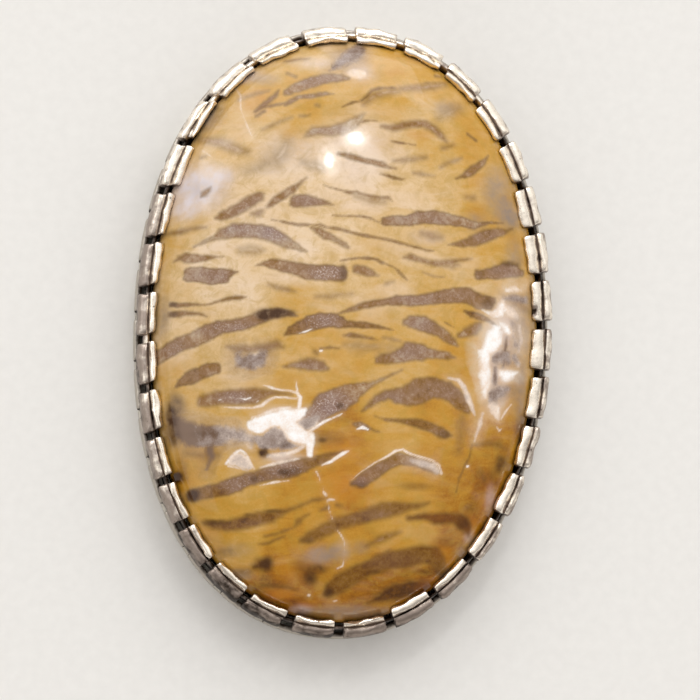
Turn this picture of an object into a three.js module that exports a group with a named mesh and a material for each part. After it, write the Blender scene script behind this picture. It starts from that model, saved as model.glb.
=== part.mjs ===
// Polished petrified wood, an oval cabochon, in a notched silver bezel.
//
// Millimetres, +Z up. The origin is on the surface that the piece lies on, under the middle of the
// setting. +Y runs along the oval towards its top, +X to the right, and the stone faces +Z.
//
// The setting is drawn from one oval, the opening of the bezel, which is the edge of the stone that
// shows. Sections are given as [offset, height]: offset is measured outwards from that oval, height
// from Z = 0.

import * as THREE from 'three';
import { mergeVertices } from 'three/addons/utils/BufferGeometryUtils.js';

// ---- driving dimensions ----

const OPENING_HALF_WIDTH = 14.05;
const OPENING_HALF_LENGTH = 21.36;
const FULLNESS = 2.2; // exponent of the oval: 2 is an ellipse, more is fuller at the shoulders
const LOWER_RIGHT_FULLNESS = 2.0; // the hand-cut oval is slimmer in this quarter

const STONE_TUCK = 0.25; // how far the stone's girdle reaches under the lip of the bezel
const GIRDLE_HEIGHT = 4.0; // top of the stone's upright side
const STONE_HEIGHT = 9.1; // crown of the dome
const DOME_POWER = 2.2; // how flat the crown is
const DOME_ROUNDING = 0.62; // how round the shoulder is: 0.5 is a half ellipse
const RIM_REACH = 16; // near the rim the dome falls with this half width, all the way round

const PLATE_THICKNESS = 1.0;
const PLATE_OFFSET = 1.42;
const PLATE_CHAMFER = 0.15;

const TAB_COUNT = 32; // tabs round the bezel, and bricks round the rail under them
const CUT_WIDTH = 0.56; // saw cut between two tabs
const CUT_SLOPE = 0.05; // how far the cheek of a cut leans back
const END_EASE = 0.3; // length over which a tab's end is rounded
const WALL_INNER = 0.45; // offsets of the two faces of the bezel's upright wall
const WALL_OUTER = 0.75;
const TAB_OUTER = 1.4;
const TAB_UNDERSIDE = 3.0;
const TAB_TOP = 5.28;
const GROOVE_FLOOR = 4.7;
const CUT_FLOOR = 4.3;
const RAIL_INNER = 0.98;
const RAIL_OUTER = 1.46;
const RAIL_TOP = 2.7;
const RAIL_CUT_DEPTH = 0.4;
const RAIL_OFF_CENTRE = 0.12; // the rail was soldered on a little too far to the left

// The cuts were spaced by eye: they start a little before the top, and drift by a tenth of a step or so.
const FIRST_CUT = - 0.12;
const DRIFT_ONCE = 0.09;
const DRIFT_TWICE = 0.11;
const DRIFT_TURN = 1.3;

const STONE_STATIONS = 80;
const DOME_LEVELS = 10;
const PLATE_STATIONS = 60;

// ---- the oval ----

// Point on the oval at an angle from +X, in radians.
function ovalPoint( angle ) {

	const x = Math.cos( angle );
	const y = Math.sin( angle );
	const power = x > 0 && y < 0 ? LOWER_RIGHT_FULLNESS : FULLNESS;
	const across = Math.pow( Math.abs( x ) / OPENING_HALF_WIDTH, power );
	const up = Math.pow( Math.abs( y ) / OPENING_HALF_LENGTH, power );
	return new THREE.Vector2( x, y ).multiplyScalar( Math.pow( across + up, - 1 / power ) );

}

// The oval as a closed chain, clockwise from the top, with the length run so far at each point.
const CHAIN_STEPS = 1440;
const chain = [];
let girth = 0;

for ( let i = 0; i <= CHAIN_STEPS; i ++ ) {

	const point = ovalPoint( Math.PI / 2 - 2 * Math.PI * i / CHAIN_STEPS );
	if ( i > 0 ) girth += point.distanceTo( chain[ i - 1 ].point );
	chain.push( { point, run: girth } );

}

// Point and outward normal at a share of the way round: 0 is the top, 0.25 about the right side.
function roundTheOval( share ) {

	const run = ( share - Math.floor( share ) ) * girth;
	let i = 1;
	while ( chain[ i ].run < run ) i ++;
	const a = chain[ i - 1 ];
	const b = chain[ i ];
	const along = new THREE.Vector2().subVectors( b.point, a.point ).normalize();
	const point = a.point.clone().lerp( b.point, ( run - a.run ) / ( b.run - a.run ) );
	return { point, normal: new THREE.Vector2( - along.y, along.x ) };

}

// ---- solids round the oval ----

// Closes a lathe or an extrusion: its faces share their vertices at the seams and the poles.
function closed( geometry ) {

	geometry.deleteAttribute( 'normal' );
	geometry.deleteAttribute( 'uv' );
	return mergeVertices( geometry, 1e-4 );

}

// A ring whose section may differ at each station. A station has its share of the way round and its
// section, a closed loop of [offset, height]. All sections have the same number of points. They are
// laid down last point first, because the stations run clockwise.
function sectionRing( stations ) {

	const size = stations[ 0 ].section.length;
	const loop = Array.from( { length: size + 1 }, ( _, j ) => {

		const turn = 2 * Math.PI * j / size;
		return new THREE.Vector2( 2 + Math.cos( turn ), Math.sin( turn ) );

	} );
	const geometry = new THREE.LatheGeometry( loop, stations.length );
	const position = geometry.attributes.position;

	for ( let i = 0; i <= stations.length; i ++ ) {

		const { share, section } = stations[ i % stations.length ];
		const { point, normal } = roundTheOval( share );

		for ( let j = 0; j <= size; j ++ ) {

			const [ offset, height ] = section[ ( size - j ) % size ];
			const place = point.clone().addScaledVector( normal, offset );
			position.setXYZ( i * ( size + 1 ) + j, place.x, place.y, height );

		}

	}

	return closed( geometry );

}

// Share of the way round of cut number k. The rail's cuts lie at halves, midway between two tab cuts.
function cutShare( k ) {

	const turn = 2 * Math.PI * k / TAB_COUNT;
	const drift = DRIFT_ONCE * Math.cos( turn - DRIFT_TURN ) + DRIFT_TWICE * Math.cos( 2 * turn );
	return ( k + FIRST_CUT + drift ) / TAB_COUNT;

}

// Stations of a ring with saw cuts. The cut section spans each cut, and places gives the sections that
// follow between two cuts: share is how far along the tab they are, ease a length in millimetres to add.
function sawnStations( cutSection, places, shift ) {

	const half = CUT_WIDTH / 2 / girth;
	const cheek = half + CUT_SLOPE / girth;
	const stations = [];

	for ( let k = 0; k < TAB_COUNT; k ++ ) {

		const cut = cutShare( k + shift );
		const next = cutShare( k + 1 + shift );
		stations.push( { share: cut - half, section: cutSection } );
		stations.push( { share: cut + half, section: cutSection } );

		for ( const { along, ease, section } of places ) {

			const share = THREE.MathUtils.lerp( cut + cheek, next - cheek, along ) + ease / girth;
			stations.push( { share, section } );

		}

	}

	return stations;

}

// ---- materials ----

const stoneFinish = new THREE.MeshStandardMaterial( { color: 0xc08a45, roughness: 0.12, metalness: 0 } );
const silverFinish = new THREE.MeshStandardMaterial( { color: 0xd6d0c2, roughness: 0.32, metalness: 1 } );
const darkSilver = new THREE.MeshStandardMaterial( { color: 0x8b867c, roughness: 0.45, metalness: 1 } );

// ---- the stone ----

// One solid: a flat base, an upright side as high as the girdle, and a smooth dome. Near the rim the
// dome falls alike all round the oval, so that it fits the lip, and at the middle it is a scaled oval.
function cabochon() {

	const profile = [];

	for ( let j = 0; j <= DOME_LEVELS; j ++ ) {

		const level = Math.sin( Math.PI / 2 * j / DOME_LEVELS );
		const rise = Math.pow( 1 - Math.pow( level, DOME_POWER ), DOME_ROUNDING );
		profile.push( new THREE.Vector2( level, GIRDLE_HEIGHT + ( STONE_HEIGHT - GIRDLE_HEIGHT ) * rise ) );

	}

	profile.push( new THREE.Vector2( 1, PLATE_THICKNESS ), new THREE.Vector2( 0, PLATE_THICKNESS ) );
	const geometry = new THREE.LatheGeometry( profile, STONE_STATIONS );
	const position = geometry.attributes.position;

	for ( let i = 0; i <= STONE_STATIONS; i ++ ) {

		const { point, normal } = roundTheOval( ( i % STONE_STATIONS ) / STONE_STATIONS );
		const girdle = point.clone().addScaledVector( normal, STONE_TUCK );
		const reach = RIM_REACH / girdle.dot( normal );

		profile.forEach( ( { x: level, y: height }, j ) => {

			const inset = ( 1 - level ) * THREE.MathUtils.lerp( 1, reach, Math.pow( level, 4 ) );
			const place = girdle.clone().multiplyScalar( 1 - inset );
			position.setXYZ( i * profile.length + j, place.x, place.y, height );

		} );

	}

	return closed( geometry );

}

// ---- the setting ----

// The bezel: an upright wall round the stone, whose thick top is grooved along its middle and sawn into
// tabs. The inner bar of each tab leans over the stone's edge, and the outer bar falls away outside.
function bezelBand() {

	const foot = [ [ WALL_INNER, PLATE_THICKNESS ], [ WALL_OUTER, PLATE_THICKNESS ], [ WALL_OUTER, 2.95 ] ];
	const groove = [ 0.64, GROOVE_FLOOR ];
	const outerBar = [
		[ TAB_OUTER - 0.1, TAB_UNDERSIDE ], [ TAB_OUTER, 3.6 ], [ TAB_OUTER - 0.1, 4.3 ],
		[ TAB_OUTER - 0.32, 4.86 ], [ 0.8, 5.02 ],
	];
	const innerBar = [ [ 0.48, 5.14 ], [ 0.25, TAB_TOP ], [ 0, 4.95 ] ];
	const underLip = [ 0.42, 4.2 ];
	const full = [ ...foot, ...outerBar, groove, ...innerBar, underLip ];

	// At its ends a bar is rounded: it draws in towards the groove and sinks a little.
	const rounded = ( [ offset, height ] ) => [
		THREE.MathUtils.lerp( offset, groove[ 0 ], 0.15 ),
		THREE.MathUtils.lerp( height, TAB_UNDERSIDE + 0.6, 0.09 ),
	];
	const end = [ ...foot, ...outerBar.map( rounded ), groove, ...innerBar.map( rounded ), underLip ];

	// In a cut only the wall is left, with a rounded top.
	const cut = [
		...foot,
		[ 0.8, TAB_UNDERSIDE + 0.05 ], [ 0.82, 3.4 ], [ 0.82, 3.8 ], [ 0.8, 4.05 ], [ 0.75, 4.2 ],
		[ 0.64, CUT_FLOOR ],
		[ 0.54, CUT_FLOOR ], [ 0.46, 4.22 ], [ 0.41, 4.1 ], [ 0.42, 3.9 ],
	];

	return sectionRing( sawnStations( cut, [
		{ along: 0, ease: 0, section: end },
		{ along: 0, ease: END_EASE, section: full },
		{ along: 0.5, ease: 0, section: full },
		{ along: 1, ease: - END_EASE, section: full },
		{ along: 1, ease: 0, section: end },
	], 0 ) );

}

// The rail: a course of short silver bricks round the bezel's foot, half a step out of line with the tabs.
function footRail() {

	const full = [
		[ RAIL_INNER, PLATE_THICKNESS ], [ RAIL_OUTER - 0.08, PLATE_THICKNESS ], [ RAIL_OUTER, 1.35 ],
		[ RAIL_OUTER, 2.2 ], [ RAIL_OUTER - 0.15, RAIL_TOP - 0.05 ], [ RAIL_INNER, RAIL_TOP ],
	];
	const back = RAIL_OUTER - RAIL_CUT_DEPTH;
	const cut = [
		[ RAIL_INNER, PLATE_THICKNESS ], [ back, PLATE_THICKNESS ], [ back, 1.35 ],
		[ back, 1.8 ], [ back - 0.05, 2.05 ], [ RAIL_INNER, 2.1 ],
	];
	return sectionRing( sawnStations( cut, [
		{ along: 0, ease: 0, section: full },
		{ along: 1, ease: 0, section: full },
	], 0.5 ) );

}

// The flat plate that closes the back, with its edges eased.
function backPlate() {

	const outline = new THREE.Shape( Array.from( { length: PLATE_STATIONS }, ( _, i ) => {

		const { point, normal } = roundTheOval( i / PLATE_STATIONS );
		return point.addScaledVector( normal, PLATE_OFFSET - PLATE_CHAMFER );

	} ) );
	const geometry = new THREE.ExtrudeGeometry( outline, {
		depth: PLATE_THICKNESS - 2 * PLATE_CHAMFER,
		bevelThickness: PLATE_CHAMFER,
		bevelSize: PLATE_CHAMFER,
		bevelSegments: 1,
	} );
	geometry.translate( 0, 0, PLATE_CHAMFER );
	return closed( geometry );

}

// ---- assembly ----

const part = new THREE.Group();

function addPiece( name, geometry, finish ) {

	const mesh = new THREE.Mesh( geometry, finish );
	mesh.name = name;
	part.add( mesh );
	return mesh;

}

addPiece( 'petrified_wood_cabochon', cabochon(), stoneFinish );
addPiece( 'bezel_band', bezelBand(), silverFinish );
addPiece( 'foot_rail', footRail(), darkSilver ).position.x = - RAIL_OFF_CENTRE;
addPiece( 'back_plate', backPlate(), darkSilver );

export default part;
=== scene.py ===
# A polished slice of petrified wood, cut as an oval cabochon and set in a notched silver bezel.
# It lies on its flat back. The frame is in metres; the sizes below are in millimetres, as they
# would be measured at the bench, and MM turns them to metres.

import math
import random

import bmesh
import bpy
import numpy as np
from mathutils import Matrix, Vector, noise


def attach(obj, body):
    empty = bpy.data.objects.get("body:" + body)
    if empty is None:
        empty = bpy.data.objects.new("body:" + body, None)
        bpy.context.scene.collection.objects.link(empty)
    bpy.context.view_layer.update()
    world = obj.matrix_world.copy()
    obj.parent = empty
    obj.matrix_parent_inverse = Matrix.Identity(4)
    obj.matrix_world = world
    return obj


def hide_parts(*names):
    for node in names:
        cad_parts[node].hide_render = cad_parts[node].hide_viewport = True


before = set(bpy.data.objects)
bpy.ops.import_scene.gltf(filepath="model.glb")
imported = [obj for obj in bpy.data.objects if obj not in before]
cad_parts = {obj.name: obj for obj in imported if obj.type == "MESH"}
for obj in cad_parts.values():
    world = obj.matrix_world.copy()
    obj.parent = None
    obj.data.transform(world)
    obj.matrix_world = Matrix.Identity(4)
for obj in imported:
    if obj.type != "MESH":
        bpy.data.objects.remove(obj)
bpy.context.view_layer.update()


# ---- the back plate ----
# A flat oval of sheet silver that closes the back of the setting. It is pierced from 1 mm sheet,
# its edges are eased with a file, and the bezel and the rail are soldered on top of it.

MM = 0.001
OPENING_HALF_WIDTH, OPENING_HALF_LENGTH = 14.05, 21.36  # the edge of the stone that shows
FULLNESS, LOWER_RIGHT_FULLNESS = 2.2, 2.0  # 2 is an ellipse, more is fuller at the shoulders
PLATE_THICKNESS, PLATE_OFFSET, PLATE_CHAMFER = 1.0, 1.418, 0.15
SHEET_SILVER, SHEET_TARNISH = "#cfc9bd", "#7d7468"

turns = np.pi / 2 - np.linspace(0, 2 * np.pi, 2881)  # clockwise from the top
cosines, sines = np.cos(turns), np.sin(turns)
powers = np.where((cosines > 0) & (sines < 0), LOWER_RIGHT_FULLNESS, FULLNESS)
reach = ((np.abs(cosines) / OPENING_HALF_WIDTH) ** powers
         + (np.abs(sines) / OPENING_HALF_LENGTH) ** powers) ** (-1 / powers)
oval_x, oval_y = reach * cosines, reach * sines
oval_run = np.concatenate([[0], np.cumsum(np.hypot(np.diff(oval_x), np.diff(oval_y)))])
oval_girth = oval_run[-1]
along_x, along_y = np.gradient(oval_x, oval_run), np.gradient(oval_y, oval_run)
along_x[0] = along_x[-1] = (along_x[0] + along_x[-1]) / 2
along_y[0] = along_y[-1] = (along_y[0] + along_y[-1]) / 2


def round_the_oval(share):
    """Point and outward normal at a share of the way round, clockwise from the top."""
    run = np.mod(share, 1) * oval_girth
    x, y = np.interp(run, oval_run, oval_x), np.interp(run, oval_run, oval_y)
    normal_x, normal_y = -np.interp(run, oval_run, along_y), np.interp(run, oval_run, along_x)
    size = np.hypot(normal_x, normal_y)
    return x, y, normal_x / size, normal_y / size


def linear(colour):
    """An sRGB hex colour as the linear values that a shader takes."""
    channels = [int(colour[i:i + 2], 16) / 255 for i in (1, 3, 5)]
    return [c / 12.92 if c <= 0.04045 else ((c + 0.055) / 1.055) ** 2.4 for c in channels] + [1]


def add_node(tree, kind, inputs={}, output=0, stops=(), **settings):
    """Adds a node. inputs maps a socket's name or number to a value or to another node's output."""
    made = tree.nodes.new("ShaderNode" + kind)
    for name, value in settings.items():
        setattr(made, name, value)
    for i, (position, colour) in enumerate(stops):
        stop = made.color_ramp.elements[i] if i < 2 else made.color_ramp.elements.new(position)
        stop.position, stop.color = position, linear(colour)
    for socket, value in inputs.items():
        if isinstance(value, bpy.types.NodeSocket):
            tree.links.new(value, made.inputs[socket])
        else:
            made.inputs[socket].default_value = value
    return made.outputs[output]


def new_finish(name):
    """An empty material, with its node tree and its own coordinates in metres."""
    finish = bpy.data.materials.new(name)
    finish.use_nodes = True
    finish.node_tree.nodes.clear()
    return finish, finish.node_tree, add_node(finish.node_tree, "TexCoord", output=3)


def finished(tree, shader):
    """Joins a shader to the material's output."""
    end = tree.nodes.new("ShaderNodeOutputMaterial")
    tree.links.new(shader, end.inputs["Surface"])


def add_piece(name, bm, finish, crease=40):
    """Turns a bmesh in millimetres into a smooth piece; edges sharper than crease stay crisp."""
    bmesh.ops.scale(bm, vec=(MM, MM, MM), verts=bm.verts)
    bmesh.ops.recalc_face_normals(bm, faces=bm.faces)
    for face in bm.faces:
        face.smooth = True
    for edge in bm.edges:
        edge.smooth = edge.calc_face_angle(0) < math.radians(crease)
    mesh = bpy.data.meshes.new(name)
    bm.to_mesh(mesh)
    bm.free()
    mesh.materials.append(finish)
    piece = bpy.data.objects.new(name, mesh)
    bpy.context.scene.collection.objects.link(piece)
    return piece


# Satin sheet silver: rolled sheet rubbed down with fine abrasive paper, so it shines softly, with
# hair-thin lines one way and a little grey tarnish in clouds.
sheet_finish, tree, place = new_finish("satin_sheet_silver")
lines = add_node(tree, "Mapping", {"Vector": place, "Rotation": (0, 0, 0.35), "Scale": (1, 14, 1)})
hairlines = add_node(tree, "TexNoise", {
    "Vector": lines, "Scale": 1 / (0.9 * MM), "Detail": 4, "Roughness": 0.65})
clouds = add_node(tree, "TexNoise", {"Vector": place, "Scale": 1 / (6 * MM), "Detail": 5})
clouded = add_node(tree, "MapRange", {0: clouds, 1: 0.48, 2: 0.75, 3: 0.0, 4: 0.7})
sheet_colour = add_node(tree, "Mix", {
    0: clouded, 6: linear(SHEET_SILVER), 7: linear(SHEET_TARNISH)}, 2, data_type="RGBA")
sheet_gloss = add_node(tree, "MapRange", {0: hairlines, 1: 0.3, 2: 0.7, 3: 0.3, 4: 0.46})
hair_bump = add_node(tree, "Bump", {"Height": hairlines, "Strength": 0.35, "Distance": 0.01 * MM})
finished(tree, add_node(tree, "BsdfPrincipled", {
    "Base Color": sheet_colour, "Metallic": 1.0, "Roughness": sheet_gloss, "Normal": hair_bump}))

bm = bmesh.new()
disc = bmesh.ops.create_circle(bm, cap_ends=True, radius=1, segments=288)
for vert in disc["verts"]:
    turn = math.atan2(vert.co.y, vert.co.x)
    x, y, normal_x, normal_y = round_the_oval(0.25 - turn / (2 * math.pi))
    vert.co = (x + normal_x * PLATE_OFFSET, y + normal_y * PLATE_OFFSET, 0)
raised = bmesh.ops.extrude_face_region(bm, geom=bm.faces[:])
bmesh.ops.translate(bm, vec=(0, 0, PLATE_THICKNESS),
                    verts=[v for v in raised["geom"] if isinstance(v, bmesh.types.BMVert)])
bmesh.ops.recalc_face_normals(bm, faces=bm.faces)
arrises = [e for e in bm.edges if any(len(f.verts) > 4 for f in e.link_faces)]
bmesh.ops.bevel(bm, geom=arrises, offset=PLATE_CHAMFER, offset_type="OFFSET", segments=3,
                profile=0.5, affect="EDGES", material=-1)
plate = add_piece("silver_back_plate", bm, sheet_finish, crease=25)
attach(plate, "root")
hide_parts("back_plate")


# ---- the foot rail ----
# A course of short silver bricks round the foot of the bezel, half a step out of line with the tabs
# above. It is a milled strip, bent round and soldered to the plate a hair too far to the left, and
# its cuts are still black from the oxidising bath.

TAB_COUNT = 32
FIRST_CUT, DRIFT_ONCE, DRIFT_TWICE, DRIFT_TURN = -0.12, 0.09, 0.11, 1.3  # spaced as given
CUT_HALF, CUT_SLOPE = 0.28, 0.05  # half the saw cut, and how far its cheek leans back
RAIL_SECTION = [  # offset from the oval, height, and how much tarnish stays there
    (0.98, 1.0, 1), (1.2, 1.0, 1), (1.34, 1.0, 0.9), (1.4, 1.1, 0.6), (1.418, 1.35, 0.3),
    (1.418, 1.8, 0.15), (1.418, 2.2, 0.15), (1.39, 2.45, 0.1), (1.31, 2.62, 0.2),
    (1.2, 2.69, 0.5), (0.98, 2.7, 0.9), (0.98, 1.85, 1)]
RAIL_FACE, RAIL_CENTRE = 1.418, (1.2, 1.85)  # a brick's outer face, and the middle of its section
RAIL_DRAWN_IN, RAIL_FOOT_TOP = (0.3, 0.22), 1.2  # how far its ends ease towards that middle
RAIL_CUT_BACK, RAIL_CUT_TOP, RAIL_OFF_CENTRE = 1.06, 2.1, 0.12
RAIL_SILVER, OXIDE = "#b9b1a6", "#2e231a"


def cut_share(k):
    """Share of the way round at which cut number k was sawn."""
    turn = 2 * math.pi * k / TAB_COUNT
    drift = DRIFT_ONCE * math.cos(turn - DRIFT_TURN) + DRIFT_TWICE * math.cos(2 * turn)
    return (k + FIRST_CUT + drift) / TAB_COUNT


def sawn_stations(shift, end_ease, middles):
    """Stations round a sawn ring: share, tab number, place along the tab (None in a cut), and how
    far the tab's end is drawn in there, from 1 at its very end to 0."""
    stations = []
    for k in range(TAB_COUNT):
        start, stop = (cut_share(k + shift + i) * oval_girth for i in (0, 1))
        first, last = start + CUT_HALF + CUT_SLOPE, stop - CUT_HALF - CUT_SLOPE
        for along in (0, 0.55, 0.85, 1):
            stations.append((start + CUT_HALF * along, k, None, 0))
        eases = [end_ease * t for t in (0, 0.05, 0.15, 0.33, 0.63, 1)]
        inner = [end_ease + (last - first - 2 * end_ease) * (i + 1) / (middles + 1)
                 for i in range(middles)]
        for d in eases + inner + [last - first - e for e in reversed(eases)]:
            nearest = min(d, last - first - d) / end_ease
            drawn = 1 - math.sqrt(1 - (1 - min(nearest, 1)) ** 2)
            stations.append((first + d, k, d / (last - first), drawn))
        for along in (1, 0.85, 0.55):
            stations.append((stop - CUT_HALF * along, k, None, 0))
    return [(run / oval_girth, k, along, drawn) for run, k, along, drawn in stations]


def spun_ring(stations, points, lay):
    """Spins a circle of points into a ring and lays each vertex where lay says, given its station
    and point: offset, height, tarnish and share of the way round."""
    bm = bmesh.new()
    tarnish = bm.verts.layers.float.new("tarnish")
    loop = bmesh.ops.create_circle(bm, radius=1, segments=points)
    bmesh.ops.rotate(bm, verts=loop["verts"], cent=(0, 0, 0),
                     matrix=Matrix.Rotation(math.pi / 2, 3, "X"))
    bmesh.ops.translate(bm, verts=loop["verts"], vec=(3, 0, 0))
    bmesh.ops.spin(bm, geom=bm.verts[:] + bm.edges[:], cent=(0, 0, 0), axis=(0, 0, 1),
                   angle=2 * math.pi, steps=len(stations), use_merge=True)
    for vert in bm.verts:
        station = round(math.atan2(vert.co.y, vert.co.x) / (2 * math.pi) * len(stations))
        side = math.atan2(vert.co.z, math.hypot(vert.co.x, vert.co.y) - 3)
        point = round(side / (2 * math.pi) * points) % points
        at = stations[station % len(stations)]
        offset, height, vert[tarnish], share = lay(at, point)
        x, y, normal_x, normal_y = round_the_oval(share)
        vert.co = (x + normal_x * offset, y + normal_y * offset, height)
    return bm


def hand_made(at, point, size, depth):
    """A small unevenness in millimetres that differs from place to place on a piece."""
    x, y, _, _ = round_the_oval(at[0])
    return depth * noise.noise(Vector((x / size, y / size, point * 0.23 + at[1])))


def lay_rail(at, point):
    """Lays a point of the rail: a brick with eased ends, or the low bridge that a cut leaves."""
    share, _, along, drawn = at
    offset, height, tarnish = RAIL_SECTION[point]
    if along is None:
        return min(offset, RAIL_CUT_BACK), min(height, RAIL_CUT_TOP), 1, share
    uneven = hand_made(at, point, 0.7, 0.02) * (offset < RAIL_FACE)
    offset += (RAIL_CENTRE[0] - offset) * RAIL_DRAWN_IN[0] * drawn + uneven
    height += (RAIL_CENTRE[1] - height) * RAIL_DRAWN_IN[1] * drawn * (height > RAIL_FOOT_TOP)
    return min(offset, RAIL_FACE), height, max(tarnish, 0.7 * drawn), share


# Oxidised silver: blackened in a sulphur bath, then rubbed back on its high faces, so the bricks
# are a soft worn grey and every recess stays brown-black and dull.
rail_finish, tree, place = new_finish("oxidised_silver_rubbed")
held = add_node(tree, "Attribute", {}, 2, attribute_name="tarnish")
grime = add_node(tree, "TexNoise", {"Vector": place, "Scale": 1 / (0.5 * MM), "Detail": 5})
dark = add_node(tree, "Math", {0: grime, 1: 0.9, 2: -0.45}, operation="MULTIPLY_ADD")
dark = add_node(tree, "Math", {0: held, 1: dark}, operation="ADD")
dark = add_node(tree, "MapRange", {0: dark, 1: 0.15, 2: 0.8, 3: 0.0, 4: 1.0},
                interpolation_type="SMOOTHSTEP")
rail_colour = add_node(tree, "Mix", {
    0: dark, 6: linear(RAIL_SILVER), 7: linear(OXIDE)}, 2, data_type="RGBA")
rail_gloss = add_node(tree, "MapRange", {0: dark, 1: 0.0, 2: 1.0, 3: 0.34, 4: 0.62})
rail_bump = add_node(tree, "Bump", {"Height": grime, "Strength": 0.5, "Distance": 0.03 * MM})
finished(tree, add_node(tree, "BsdfPrincipled", {
    "Base Color": rail_colour, "Metallic": 1.0, "Roughness": rail_gloss, "Normal": rail_bump}))

bm = spun_ring(sawn_stations(0.5, 0.22, 3), len(RAIL_SECTION), lay_rail)
bmesh.ops.translate(bm, vec=(-RAIL_OFF_CENTRE, 0, 0), verts=bm.verts)
rail = add_piece("silver_foot_rail", bm, rail_finish, crease=50)
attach(rail, "root")
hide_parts("foot_rail")


# ---- the bezel ----
# The wall that holds the stone: a thick silver strip with a groove along its top, bent round and
# soldered, then sawn into tabs. Each tab shows two bars with rounded ends. The inner bar is
# burnished over the stone's edge, and the outer one falls away down the outside.

BAR_END_EASE = 0.3
# Down the outer bar's face the tarnish is partly painted shade: the face darkens as it turns
# outwards and down.
BEZEL_SECTION = [  # offset, height, tarnish: the wall, the outer bar, the groove, the inner bar
    (0.45, 1.0, 1), (0.6, 1.0, 1), (0.75, 1.0, 1), (0.75, 1.7, 1), (0.75, 2.4, 1), (0.75, 2.9, 1),
    (0.86, 2.98, 1), (1.05, 2.97, 0.9), (1.24, 3.0, 0.8), (1.34, 3.1, 0.62), (1.39, 3.32, 0.5),
    (1.4, 3.62, 0.42), (1.38, 3.95, 0.36), (1.34, 4.28, 0.3), (1.26, 4.58, 0.2),
    (1.15, 4.82, 0.06), (1.03, 4.96, 0), (0.9, 5.02, 0), (0.79, 5.0, 0.08), (0.72, 4.91, 0.4),
    (0.68, 4.82, 0.9), (0.64, 4.78, 1), (0.61, 4.82, 0.9),
    (0.58, 4.92, 0.5), (0.54, 5.05, 0.15), (0.46, 5.18, 0), (0.36, 5.26, 0), (0.25, 5.28, 0),
    (0.14, 5.23, 0), (0.06, 5.12, 0.05), (0.02, 4.98, 0.3), (0.06, 4.86, 0.9),
    (0.2, 4.6, 1), (0.38, 4.28, 1), (0.43, 3.6, 1), (0.45, 2.3, 1)]
OUTER_BAR, GROOVE, INNER_BAR = range(6, 19), range(19, 24), range(24, 32)
OUTER_BAR_CENTRE, INNER_BAR_CENTRE = (1.04, 4.1), (0.28, 4.95)
OUTER_BAR_FOOT, BAR_DRAWN_IN = 2.97, 0.34  # how far a bar's ends ease towards its centre
LIP_OFFSET, GROOVE_OFFSET, FACE_OFFSET = 0.02, 0.64, 1.4
CLIMB_START, CLIMB = -0.15, 1.25  # a lip pushed past this offset climbs the dome by so much
LAG_SPREAD = 8  # points over which the outer bar's lag dies away across the groove
CUT_ARCH = range(6, 34)  # the points that run over the wall's rounded top where a cut bares it
ARCH_MIDDLE, ARCH_FOOT = 0.605, 3.2
BARE_ARCH, FILLED_ARCH = (0.175, 1.1), (0.28, 1.4)  # half width and rise of that top
FILLED_CUTS = (0, 1, 2, 3, 24, 29, 30)  # cuts that solder ran into
CUTS_WIPED_AND_LIT, WIPED_AND_LIT_OXIDE = (0, 29, 30, 31), 0.8  # cuts that keep less oxide: partly wiped, partly painted light on their floors
CHIPPED_TAB, CHIPPED_AT = 7, (0.78, 0.12)  # a nick in one inner bar: place along it, and reach
# The second colour is dull silver, and painted shade on the outer bars as well.
BRIGHT_SILVER, DULL_AND_SHADED_SILVER = "#fdf3e4", "#a2948a"

# Each tab as it was worked by hand: the offset of the inner bar's lip over the stone and of the
# groove, how far the outer bar lags behind, and how dark the groove and the outer bar are. The
# outer bar's darkness is a dull finish and painted shade together: none at the top of the ring,
# heaviest at the bottom, where the bars lie in shade.
TABS = [
    (-0.05, 0.52, -0.1, 0.25, 0), (-0.05, 0.5, -0.2, 0.3, 0), (-0.1, 0.5, -0.2, 0.6, 0),
    (-0.25, 0.5, -0.15, 0.65, 0), (-0.25, 0.58, -0.15, 0.8, 0.05), (-0.4, 0.6, -0.15, 0.85, 0.08),
    (-0.45, 0.6, -0.15, 0.85, 0.08), (-0.3, 0.62, -0.15, 0.9, 0.1), (-0.3, 0.83, -0.1, 0.8, 0.25),
    (-0.1, 0.88, -0.2, 0.8, 0.25), (-0.05, 0.8, -0.15, 0.7, 0.3), (-0.05, 0.82, -0.15, 0.75, 0.25),
    (0, 0.85, -0.05, 0.9, 0.3), (0.05, 0.64, -0.05, 1, 0.5), (-0.1, 0.6, -0.05, 1, 0.6),
    (0.15, 0.62, -0.05, 0.5, 0.55), (0.15, 0.65, 0, 0.8, 0.72), (0.05, 0.58, 0.2, 0.9, 0.75),
    (-0.1, 0.42, 0, 0.9, 0.78), (-0.05, 0.58, 0, 1, 0.6), (0.1, 0.65, 0.05, 0.75, 0.35),
    (0.1, 0.68, -0.05, 0.65, 0.3), (-0.1, 0.6, -0.15, 0.9, 0.38), (0, 0.52, -0.15, 0.7, 0.4),
    (-0.05, 0.52, -0.15, 0.7, 0.45), (-0.1, 0.58, -0.2, 0.75, 0.38), (-0.1, 0.48, -0.25, 0.8, 0.28),
    (-0.2, 0.5, -0.2, 0.5, 0.05), (0.2, 0.7, -0.4, 0.35, 0), (-0.05, 0.52, -0.35, 0.3, 0),
    (-0.05, 0.48, -0.35, 0.25, 0), (0, 0.5, -0.1, 0.25, 0)]

rng = random.Random(7)
bar_tilt = {(k, bar): (rng.uniform(-0.03, 0.03), rng.uniform(-0.05, 0.03), rng.uniform(-0.03, 0.03))
            for k in range(TAB_COUNT) for bar in ("inner", "outer")}


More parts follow.
